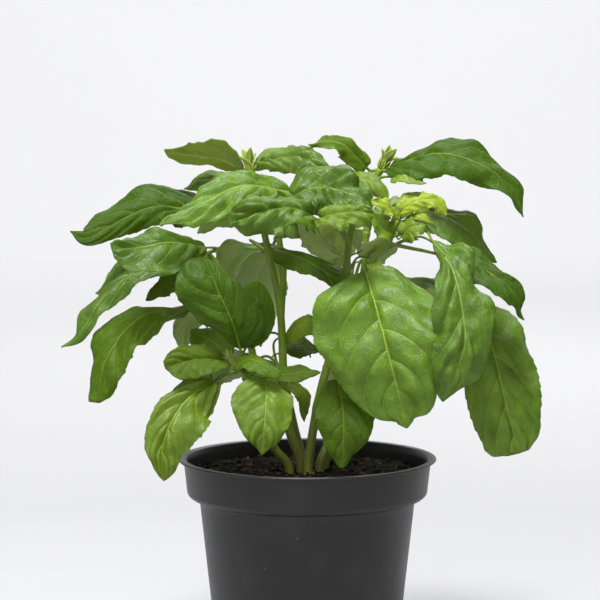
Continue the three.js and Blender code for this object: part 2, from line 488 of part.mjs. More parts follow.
/** The pot: a tapered body, a wider collar with a thin lip, a raised base with drain holes. */
function makePot() {
  const foot = POT_HEIGHT - COLLAR_HEIGHT;
  const lipRound = LIP_THICK / 2;
  const outside = [
    new THREE.Vector2(0, 0),
    new THREE.Vector2(BASE_DISC_RADIUS, 0),
    new THREE.Vector2(BASE_DISC_RADIUS + BASE_SLOPE, BASE_RAISED),
    new THREE.Vector2(BASE_RING_RADIUS - BASE_SLOPE, BASE_RAISED),
    new THREE.Vector2(BASE_RING_RADIUS, 0),
    ...arc(FOOT_RADIUS - FOOT_ROUND, FOOT_ROUND, FOOT_ROUND, -90, 0, 2),
    new THREE.Vector2(BODY_TOP_RADIUS, foot),
    ...arc(COLLAR_FOOT_RADIUS - COLLAR_ROUND, foot + COLLAR_ROUND, COLLAR_ROUND, -90, 0, 3),
    new THREE.Vector2(COLLAR_TOP_RADIUS, POT_HEIGHT - 2 * LIP_THICK),
    ...arc(LIP_RADIUS - lipRound, POT_HEIGHT - lipRound, lipRound, -90, 90, 2),
    new THREE.Vector2(COLLAR_TOP_RADIUS - lipRound, POT_HEIGHT),
  ];
  const profile = [...outside, ...potInside(0).reverse()];
  let pot = solidFromGeometry(new THREE.LatheGeometry(profile, POT_SIDES).rotateX(Math.PI / 2));
  for (let k = 0; k < DRAIN_HOLES; k += 1) {
    const a = ((k + 0.5) / DRAIN_HOLES) * 2 * Math.PI;
    const drill = new THREE.CylinderGeometry(DRAIN_RADIUS, DRAIN_RADIUS, 4 * BASE_RAISED, DRAIN_SIDES);
    drill.rotateX(Math.PI / 2);
    drill.translate(DRAIN_CIRCLE * Math.cos(a), DRAIN_CIRCLE * Math.sin(a), BASE_RAISED);
    pot = pot.subtract(solidFromGeometry(drill));
  }
  return meshFromSolid("pot", pot, plastic);
}

/** The height of the soil's crumbly top at a place. */
function soilHeight(x, y, seed) {
  const swell = Math.sin(SOIL_SWELL_TURN * x) * Math.cos(SOIL_SWELL_TURN * y);
  return SOIL_TOP + SOIL_SWELL * swell + SOIL_CRUMB * seeded(seed);
}

/** The soil: it fills the pot, with a crumbly top and a plain hole for each stem. */
function makeSoil() {
  const wall = potInside(SOIL_GAP).slice(0, -1);
  const last = wall[wall.length - 1];
  const edge = SOIL_TOP - SOIL_SWELL - SOIL_CRUMB;
  const share = (edge - last.y) / (POT_HEIGHT - LIP_THICK - last.y);
  const topRadius = lerp(last.x, COLLAR_TOP_RADIUS - WALL - SOIL_GAP, share);
  const wallRings = [...wall.slice(1), new THREE.Vector2(topRadius, edge)];
  const points = [new THREE.Vector3(0, 0, wall[0].y)];
  const triangles = [];
  for (const ring of wallRings) {
    for (let s = 0; s < POT_SIDES; s += 1) {
      const a = (s / POT_SIDES) * 2 * Math.PI;
      points.push(new THREE.Vector3(ring.x * Math.cos(a), ring.x * Math.sin(a), ring.y));
    }
  }
  for (let r = SOIL_RINGS; r >= 1; r -= 1) {
    const radius = ((topRadius - SOIL_SHOULDER) * r) / SOIL_RINGS;
    for (let s = 0; s < POT_SIDES; s += 1) {
      const a = (s / POT_SIDES) * 2 * Math.PI;
      const x = radius * Math.cos(a);
      const y = radius * Math.sin(a);
      points.push(new THREE.Vector3(x, y, soilHeight(x, y, r * POT_SIDES + s)));
    }
  }
  points.push(new THREE.Vector3(0, 0, soilHeight(0, 0, 1)));
  const rings = wallRings.length + SOIL_RINGS;
  const at = (ring, side) => 1 + ring * POT_SIDES + (side % POT_SIDES);
  for (let s = 0; s < POT_SIDES; s += 1) {
    triangles.push([0, at(0, s + 1), at(0, s)]);
    triangles.push([points.length - 1, at(rings - 1, s), at(rings - 1, s + 1)]);
    for (let r = 0; r < rings - 1; r += 1) {
      triangles.push([at(r, s), at(r, s + 1), at(r + 1, s + 1)]);
      triangles.push([at(r, s), at(r + 1, s + 1), at(r + 1, s)]);
    }
  }
  let soil = solidFromLists(points, triangles);
  for (const shoot of SHOOTS) {
    const foot = vector(shoot.points[0]);
    if (foot.z < SOIL_TOP) {
      const radius = shoot.radii[0] * (1 + STEM_SQUARENESS) + STEM_HOLE_GAP;
      const length = POT_HEIGHT - STEM_HOLE_BOTTOM;
      const hole = new THREE.CylinderGeometry(radius, radius, length, STEM_HOLE_SIDES).rotateX(Math.PI / 2);
      hole.translate(foot.x, foot.y, STEM_HOLE_BOTTOM + length / 2);
      soil = soil.subtract(solidFromGeometry(hole));
    }
  }
  return meshFromSolid("soil", soil, earth);
}

/** A closed tapering tube along the points, with a section that may be a rounded square. */
function tube(points, radii, sides, steps, squareness) {
  const curve = curveThrough(points);
  const ringPoints = [];
  const triangles = [];
  let side = null;
  for (let k = 0; k <= steps; k += 1) {
    const t = k / steps;
    const centre = curve.getPointAt(t);
    const along = curve.getTangentAt(t);
    if (side === null) {
      side = Math.abs(along.y) < STEEP ? new THREE.Vector3(0, 1, 0) : new THREE.Vector3(1, 0, 0);
    }
    side = side.clone().addScaledVector(along, -side.dot(along)).normalize();
    const other = along.clone().cross(side);
    for (let s = 0; s < sides; s += 1) {
      const a = (s / sides) * 2 * Math.PI;
      const r = lerp(radii[0], radii[1], t) * (1 + squareness * Math.cos(4 * a));
      const p = centre.clone().addScaledVector(side, r * Math.cos(a)).addScaledVector(other, r * Math.sin(a));
      ringPoints.push(p);
    }
  }
  for (let k = 0; k < steps; k += 1) {
    for (let s = 0; s < sides; s += 1) {
      const a = k * sides + s;
      const b = k * sides + ((s + 1) % sides);
      triangles.push([a, b, b + sides], [a, b + sides, a + sides]);
    }
  }
  for (let s = 1; s < sides - 1; s += 1) {
    const top = steps * sides;
    triangles.push([0, s + 1, s], [top, top + s, top + s + 1]);
  }
  return solidFromLists(ringPoints, triangles);
}

/** The fullness of a half blade along the midrib, 1 at its widest. */
function outline(u, base, tip) {
  const widest = base / (base + tip);
  return (u ** base * (1 - u) ** tip) / (widest ** base * (1 - widest) ** tip);
}

/** Directions interpolated along a list of them. */
function directionAt(list, u) {
  const place = u * (list.length - 1);
  const k = Math.min(Math.floor(place), list.length - 2);
  return vector(list[k]).lerp(vector(list[k + 1]), place - k);
}

/** The grid of points on a leaf's middle surface: rows along the midrib, places across it. */
function bladeGrid(leaf, rows, cells) {
  const curve = curveThrough(leaf.rib);
  const ends = leaf.ends.length === 4 ? leaf.ends : [...leaf.ends, ...leaf.ends];
  const start = radians(leaf.fold[0]);
  const bend = radians(leaf.fold[1] - leaf.fold[0]);
  const grid = [];
  for (let i = 0; i <= rows; i += 1) {
    const u = i / rows;
    const along = curve.getTangentAt(u);
    const up = directionAt(leaf.faces, u);
    up.addScaledVector(along, -up.dot(along)).normalize();
    const across = along.clone().cross(up);
    const row = [];
    for (let j = -cells; j <= cells; j += 1) {
      const first = j >= 0;
      const full = first ? outline(u, ends[0], ends[1]) : outline(u, ends[2], ends[3]);
      const width = Math.max(leaf.halves[first ? 0 : 1] * full, BLADE_END);
      const v = Math.abs(j) / cells;
      const out = (Math.sin(start + bend * v) - Math.sin(start)) / bend;
      const rise = (Math.cos(start) - Math.cos(start + bend * v)) / bend;
      const phase = WAVES_ALONG * u + WAVE_NAME_STEP * leaf.name.length + (first ? 0 : WAVE_SIDE_STEP);
      const fade = Math.min(1, WAVE_ENDS * full);
      const wave = leaf.ruffle * v * v * Math.sin(2 * Math.PI * phase) * fade;
      const point = curve.getPointAt(u);
      point.addScaledVector(across, (first ? 1 : -1) * width * out).addScaledVector(up, width * rise + wave);
      row.push(point);
    }
    grid.push(row);
  }
  return grid;
}

/** A blade: the middle surface given a thickness, closed around its margin. */
function blade(leaf, rows, cells) {
  const grid = bladeGrid(leaf, rows, cells);
  const places = 2 * cells + 1;
  const upper = [];
  const lower = [];
  for (let i = 0; i <= rows; i += 1) {
    for (let j = 0; j < places; j += 1) {
      const down = grid[Math.min(i + 1, rows)][j].clone().sub(grid[Math.max(i - 1, 0)][j]);
      const over = grid[i][Math.min(j + 1, places - 1)].clone().sub(grid[i][Math.max(j - 1, 0)]);
      const normal = over.cross(down).normalize();
      upper.push(grid[i][j].clone().addScaledVector(normal, BLADE_THICK / 2));
      lower.push(grid[i][j].clone().addScaledVector(normal, -BLADE_THICK / 2));
    }
  }
  const count = upper.length;
  const triangles = [];
  for (let i = 0; i < rows; i += 1) {
    for (let j = 0; j < places - 1; j += 1) {
      const a = i * places + j;
      const b = a + 1;
      const c = a + places + 1;
      const d = a + places;
      triangles.push([a, b, c], [a, c, d]);
      triangles.push([count + a, count + c, count + b], [count + a, count + d, count + c]);
    }
  }
  const margin = [];
  for (let j = 0; j < places - 1; j += 1) margin.push(j);
  for (let i = 0; i < rows; i += 1) margin.push(i * places + places - 1);
  for (let j = places - 1; j > 0; j -= 1) margin.push(rows * places + j);
  for (let i = rows; i > 0; i -= 1) margin.push(i * places);
  margin.forEach((a, k) => {
    const b = margin[(k + 1) % margin.length];
    triangles.push([a, count + a, b], [b, count + a, count + b]);
  });
  return solidFromLists([...upper, ...lower], triangles);
}

/** The petiole: it leaves the shoot, swings round and runs a little way under the midrib. */
function petiole(leaf, shoot) {
  const rib = curveThrough(leaf.rib);
  const base = rib.getPointAt(0);
  const start = curveThrough(shoot.points).getPointAt(leaf.along);
  const reach = base.distanceTo(start);
  const bend = base.clone().addScaledVector(rib.getTangentAt(0), -PETIOLE_SWING * reach);
  const points = [start, bend, base, rib.getPointAt(PETIOLE_SINK)];
  const steps = reach > PETIOLE_LONG ? 3 : 2;
  return tube(points, [PETIOLE_RADIUS, PETIOLE_TIP_RADIUS], PETIOLE_SIDES, steps, 0);
}

/** The bud at the tip of a shoot: two pairs of narrow young leaves that stand around it. */
function bud(shoot) {
  const curve = curveThrough(shoot.points);
  const tip = curve.getPointAt(1);
  const up = curve.getTangentAt(1);
  const side = new THREE.Vector3(0, -1, 0.2);
  side.addScaledVector(up, -side.dot(up)).normalize();
  const other = up.clone().cross(side);
  const leaflets = [];
  for (let k = 0; k < 4; k += 1) {
    const a = radians(90 * k + BUD_TURN);
    const lean = BUD_LEANS[k % 2];
    const length = shoot.bud * BUD_LENGTHS[k % 2];
    const outward = side.clone().multiplyScalar(Math.cos(a)).addScaledVector(other, Math.sin(a));
    const start = tip.clone().addScaledVector(up, -BUD_SINK);
    const middle = tip.clone().addScaledVector(up, length / 2).addScaledVector(outward, (lean * length) / 4);
    const end = tip.clone().addScaledVector(up, length).addScaledVector(outward, 0.75 * lean * length);
    const inward = outward.clone().negate().addScaledVector(up, BUD_FACE_UP);
    const leaflet = {
      name: "bud",
      rib: [start, middle, end],
      faces: [inward.toArray(), inward.toArray()],
      halves: [BUD_HALF * length, BUD_HALF * length],
      fold: BUD_FOLD,
      ends: BUD_ENDS,
      ruffle: 0,
    };
    leaflets.push(blade(leaflet, 2, 1));
  }
  return leaflets;
}

/** A leafy stem: its shoots, petioles, leaves and buds grown together as one body. */
function makeStem(name) {
  const shoots = SHOOTS.filter((shoot) => shoot.stem === name);
  const pieces = [];
  for (const shoot of shoots) {
    const reach = curveThrough(shoot.points).getLength();
    const steps = Math.max(STEM_STEPS_LEAST, Math.round(reach / STEM_STEP));
    pieces.push(tube(shoot.points, shoot.radii, STEM_SIDES, steps, STEM_SQUARENESS));
    if (shoot.bud > 0) pieces.push(...bud(shoot));
    for (const leaf of LEAVES.filter((one) => one.shoot === shoot.name)) {
      const length = curveThrough(leaf.rib).getLength();
      const rows = THREE.MathUtils.clamp(Math.round(length / BLADE_ROW), BLADE_ROWS_LEAST, BLADE_ROWS_MOST);
      const cells = Math.max(...leaf.halves) > BLADE_WIDE ? 2 : 1;
      pieces.push(blade(leaf, rows, cells));
      pieces.push(petiole(leaf, shoot));
    }
  }
  return meshFromSolid(name, wasm.Manifold.union(pieces), foliage);
}

const group = new THREE.Group();
group.add(makePot());
group.add(makeSoil());
for (const name of new Set(SHOOTS.map((shoot) => shoot.stem))) {
  group.add(makeStem(name));
}

export default group;
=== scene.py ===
"""A potted basil plant in a plain nursery pot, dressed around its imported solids. Metres, +Z up."""
import collections
import functools
import math

import bpy
import numpy as np
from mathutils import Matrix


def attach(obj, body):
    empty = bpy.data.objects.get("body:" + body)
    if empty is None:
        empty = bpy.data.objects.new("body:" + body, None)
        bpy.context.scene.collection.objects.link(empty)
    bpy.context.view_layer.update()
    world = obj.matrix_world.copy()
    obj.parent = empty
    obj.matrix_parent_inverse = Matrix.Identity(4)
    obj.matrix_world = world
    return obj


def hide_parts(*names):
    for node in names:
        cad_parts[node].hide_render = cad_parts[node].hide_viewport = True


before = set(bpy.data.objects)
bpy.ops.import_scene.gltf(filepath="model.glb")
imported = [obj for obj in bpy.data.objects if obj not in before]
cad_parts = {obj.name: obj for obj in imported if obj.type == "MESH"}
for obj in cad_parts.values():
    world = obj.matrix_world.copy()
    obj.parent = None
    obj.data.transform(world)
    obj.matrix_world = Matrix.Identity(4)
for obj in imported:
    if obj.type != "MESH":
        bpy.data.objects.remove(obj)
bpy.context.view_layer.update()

MM = 0.001
FULL_TURN = 2 * math.pi

# Camera and studio, in metres and watts
CAMERA_PLACE = (-0.0037, -1.1852, 0.2997)
CAMERA_DIP = math.radians(5.13)
CAMERA_LENS = 139.3
CAMERA_SENSOR = 36
FLOOR_FLAT = 2.2
FLOOR_RISE = 2.2
FLOOR_SIDES = 96
SKY_STRENGTH = 0.1

# Each soft box: name, place, what it faces, side, power
SOFT_BOXES = [
    ("soft_box_above", (-0.16, -0.5, 1.6), (0, 0, 0.15), 0.5, 44),
    ("soft_box_front", (-0.45, -1.5, 1.0), (0, 0, 0.15), 1.3, 11),
    ("room_box", (0, -2.6, 3.0), (0, -3.6, 0), 3.6, 40),
    ("back_box", (0.3, 1.3, 1.3), (0, 0, 0.2), 1.0, 10),
    ("backdrop_box", (0, 2.6, 3.0), (0, 3.6, 0), 3.6, 86),
]

# Pot, from the solids: a 13 cm nursery pot of thin moulded plastic. From here on all sizes are millimetres.
POT_HEIGHT = 112
LIP_RADIUS = 66.5
LIP_THICK = 1.1
LIP_FILLET = 0.8
COLLAR_TOP_RADIUS = 63.6
COLLAR_FOOT_RADIUS = 62
COLLAR_HEIGHT = 21
COLLAR_ROUND = 4.2
BODY_TOP_RADIUS = 55.6
FOOT_RADIUS = 45.8
FOOT_ROUND = 2
WALL = 1.3
BASE_RAISED = 3
BASE_RING_RADIUS = 36
BASE_DISC_RADIUS = 15
DRAIN_HOLES = 8
DRAIN_RADIUS = 3.6
DRAIN_CIRCLE = 25.5
DRAIN_MARGIN = 1.7
POT_AXIS_GAP = 0.4
POT_SIDES = 192
POT_CELL = 4.0
COLLAR_FOOT = POT_HEIGHT - COLLAR_HEIGHT

# The slope from the ground up to the raised base: distance from its radius and height
BASE_SLOPE = [(-0.4, 0), (0.2, 0.3), (1.8, BASE_RAISED - 0.3), (2.4, BASE_RAISED)]

# How the wall wanders round the pot: depth, waves and start of each wave
WALL_WANDER = [(0.05, 3, 0.7), (0.03, 5, 0)]

# Soil
SOIL_TOP = 104
SOIL_RADIUS = 61.2
SOIL_RINGS = 90
SOIL_SIDES = 240
SOIL_HEAP = 1.2
SOIL_EDGE_DROP = 1.5
SOIL_GRAINS = 300
SOIL_DRAW = 11

# Roughness of the soil's top: depth, grain size and noise layer
SOIL_RELIEF = [(0.8, 15, 3), (0.7, 5, 4), (0.55, 2.1, 5), (0.3, 1.1, 6)]

# The soil's plug under its top, down the inside of the pot: radius and height
SOIL_PLUG = [
    (0.993 * SOIL_RADIUS, COLLAR_FOOT + 6),
    (BODY_TOP_RADIUS + 2, COLLAR_FOOT + 2.2),
    (BODY_TOP_RADIUS - 1.8, COLLAR_FOOT + 1.6),
    (FOOT_RADIUS - 1.4, BASE_RAISED + WALL + 0.7),
]

# Crumbs: shades of bark from dark to ochre and how often each comes
CRUMB_SHADES = [0.0, 0.15, 0.35, 0.9]
CRUMB_ODDS = [0.5, 0.25, 0.15, 0.1]
CRUMB_SIDES = 8
CRUMB_ROWS = 5
CRUMB_OPENING = 0.3
CRUMB_LUMPS = 0.25

# Blades: mesh, outline, and the length from which a leaf counts as full grown
BLADE_THICK = 0.5
BLADE_END = 0.4
BLADE_CELL = 0.95
FULL_GROWN = 60
MARGIN_ROUND = 0.4
TEETH = 13
TOOTH_DEPTH = 0.65
LOBES = 5.5
POINT_LENGTH = {"largest": 3.4}
POINT_SLOPE = 1.2

# Waves of the margin, a blade long: slow ones and fine ones
SLOW_WAVES = 2.5
FINE_WAVES = 6.3

# Side veins: distance apart as a share of the blade, and how they sweep forward
VEIN_STEP = 0.185
VEIN_SWEEP = 0.38
VEIN_CURVE = 1.4
VEIN_OFFSET = 0.03

# Grooves of midrib and side veins: half width of a full grown leaf and what is added, depth above and below
RIB_GROOVE = (1.3, 0.2, 0.55, 0.85)
VEIN_GROOVE = (0.85, 0.15, 0.5, 0.6)

# Leaves deeper in tone than this have the less glossy finish; their deep tone is partly painted shade
DEEP_TONE = 0.55

# Stems, petioles and buds
STEM_SQUARENESS = 0.1
STEM_SIDES = 16
STEM_CELL = 1.6
KNOT_SWELLING = 0.28
KNOT_LENGTH = 2.6
PETIOLE_RADIUS = 1.15
PETIOLE_TIP_RADIUS = 0.3
PETIOLE_SIDES = 10
PETIOLE_STEPS = 30
PETIOLE_SWING = 0.35
PETIOLE_SINK = 7
PETIOLE_RUN = 15
BUD_LEAVES = 8
BUD_LEANS = (0.4, 0.75)
BUD_REACHES = (1, 0.75)
BUD_INNER_LEAN = 0.55
BUD_INNER_REACH = 0.7
BUD_TONE = 0.3

# Samples along a smooth line
LINE = 200
SPAN = 40

# Large odd numbers that scatter the corners of the noise's grid, and 32 bits
SCATTER = (374761393, 668265263, 2147483647)
SEED_SCATTER = 974634777
LAST_SCATTER = 1274126177
BITS = 0xFFFFFFFF

# Node kinds: Blender's type, its settings, and the sockets that values go to in turn. A mix takes a share and
# two colours; a range takes a value, its two limits and what they become.
NODES = {name: ("ShaderNodeMath", {"operation": name}, (0, 1, 2)) for name in (
    "ABSOLUTE", "ADD", "DIVIDE", "GREATER_THAN", "MAXIMUM", "MULTIPLY", "MULTIPLY_ADD", "PINGPONG", "POWER",
    "SIGN", "SINE")}
NODES.update({
    "BUMP": ("ShaderNodeBump", {}, ("Height", "Strength", "Distance")),
    "CELLS": ("ShaderNodeTexVoronoi", {"feature": "F1"}, ("Vector", "Scale")),
    "CELL_EDGES": ("ShaderNodeTexVoronoi", {"feature": "DISTANCE_TO_EDGE"},
                   ("Vector", "Scale", "Randomness")),
    "JOIN": ("ShaderNodeCombineXYZ", {}, (0, 1, 2)),
    "LENGTH": ("ShaderNodeVectorMath", {"operation": "LENGTH"}, (0,)),
    "MIX": ("ShaderNodeMix", {"data_type": "RGBA"}, (0, 6, 7)),
    "MIX_SHADERS": ("ShaderNodeMixShader", {}, (0, 1, 2)),
    "NOISE": ("ShaderNodeTexNoise", {}, ("Vector", "Scale", "Detail")),
    "OUTPUT": ("ShaderNodeOutputMaterial", {}, (0,)),
    "PLACE": ("ShaderNodeTexCoord", {}, ()),
    "PRINCIPLED": ("ShaderNodeBsdfPrincipled", {}, ()),
    "RANGE": ("ShaderNodeMapRange", {}, (0, 1, 2, 3, 4)),
    "SMOOTH_RANGE": ("ShaderNodeMapRange", {"interpolation_type": "SMOOTHSTEP"}, (0, 1, 2, 3, 4)),
    "SPLIT": ("ShaderNodeSeparateColor", {}, (0,)),
    "STRETCH": ("ShaderNodeMapping", {}, ("Vector", "Scale")),
    "TRANSLUCENT": ("ShaderNodeBsdfTranslucent", {}, ("Color", "Normal")),
    "VALUE": ("ShaderNodeAttribute", {}, ()),
})

Leaf = collections.namedtuple("Leaf", "name shoot share rib faces halves fold ends ruffle youth tone")

# Each shoot: name, stem, points from the buried foot up, radii at the foot and the tip, length of its bud
SHOOTS = [
    ("left", "leafy_stem_left",
     [(-9.5, -12, 72), (-9.5, -12, 88), (-9.5, -12, 109), (-17.5, -14, 120), (-23.5, -9, 143),
      (-28.5, -2, 168), (-35.5, 4, 190), (-44.5, 8, 207), (-51.5, 10, 216)],
     (2.2, 1.5), 0),
    ("low", "leafy_stem_left",
     [(-16.5, -14, 117), (-20.5, -20, 132), (-25.5, -25, 146), (-30.5, -28, 157), (-36.5, -28, 164)],
     (1.6, 1.2), 8),
    ("tall", "leafy_stem_tall",
     [(-3.5, -5, 72), (-3.5, -5, 88), (-3.5, -5, 109), (-9.5, -7, 128), (-12.5, -6, 153),
      (-12.5, -3, 168), (-14.5, 0, 193), (-19.5, 2, 216), (-24.5, 3, 239), (-28.5, 4, 258)],
     (2.3, 1.4), 13),
    ("right", "leafy_stem_right",
     [(0.5, -16, 72), (0.5, -16, 88), (0.5, -16, 109), (2.5, -19, 126), (7.5, -25, 153),
      (17.5, -31, 186), (27.5, -33, 209), (32.5, -33, 216), (39.5, -32, 225), (44.5, -31, 236)],
     (2.3, 1.5), 9),
    ("back right", "leafy_stem_back_right",
     [(6.5, -7, 72), (6.5, -7, 88), (6.5, -7, 109), (11.5, -3, 121), (19.5, 2, 152),
      (22.5, 6, 182), (20.5, 6, 212), (23.5, 4, 232), (31.5, 3, 249), (37.5, 3, 260)],
     (2.3, 1.4), 13),
    ("centre", "leafy_stem_back_right",
     [(21.5, 5, 222), (15.5, -6, 232), (8.5, -16, 238), (2.5, -22, 242)],
     (1.5, 1.2), 0),
    ("rear left", "leafy_stem_rear_left",
     [(-2.5, 8, 72), (-2.5, 8, 88), (-2.5, 8, 109), (-6.5, 12, 125),
      (-11.5, 18, 150), (-13.5, 25, 180), (-12.5, 31, 205), (-15.5, 36, 228)],
     (2.2, 1.4), 10),
    ("rear right", "leafy_stem_rear_right",
     [(9.5, 6, 72), (9.5, 6, 88), (9.5, 6, 109), (15.5, 11, 125),
      (21.5, 17, 150), (26.5, 23, 180), (29.5, 30, 205), (31.5, 36, 226)],
     (2.2, 1.4), 10),
]
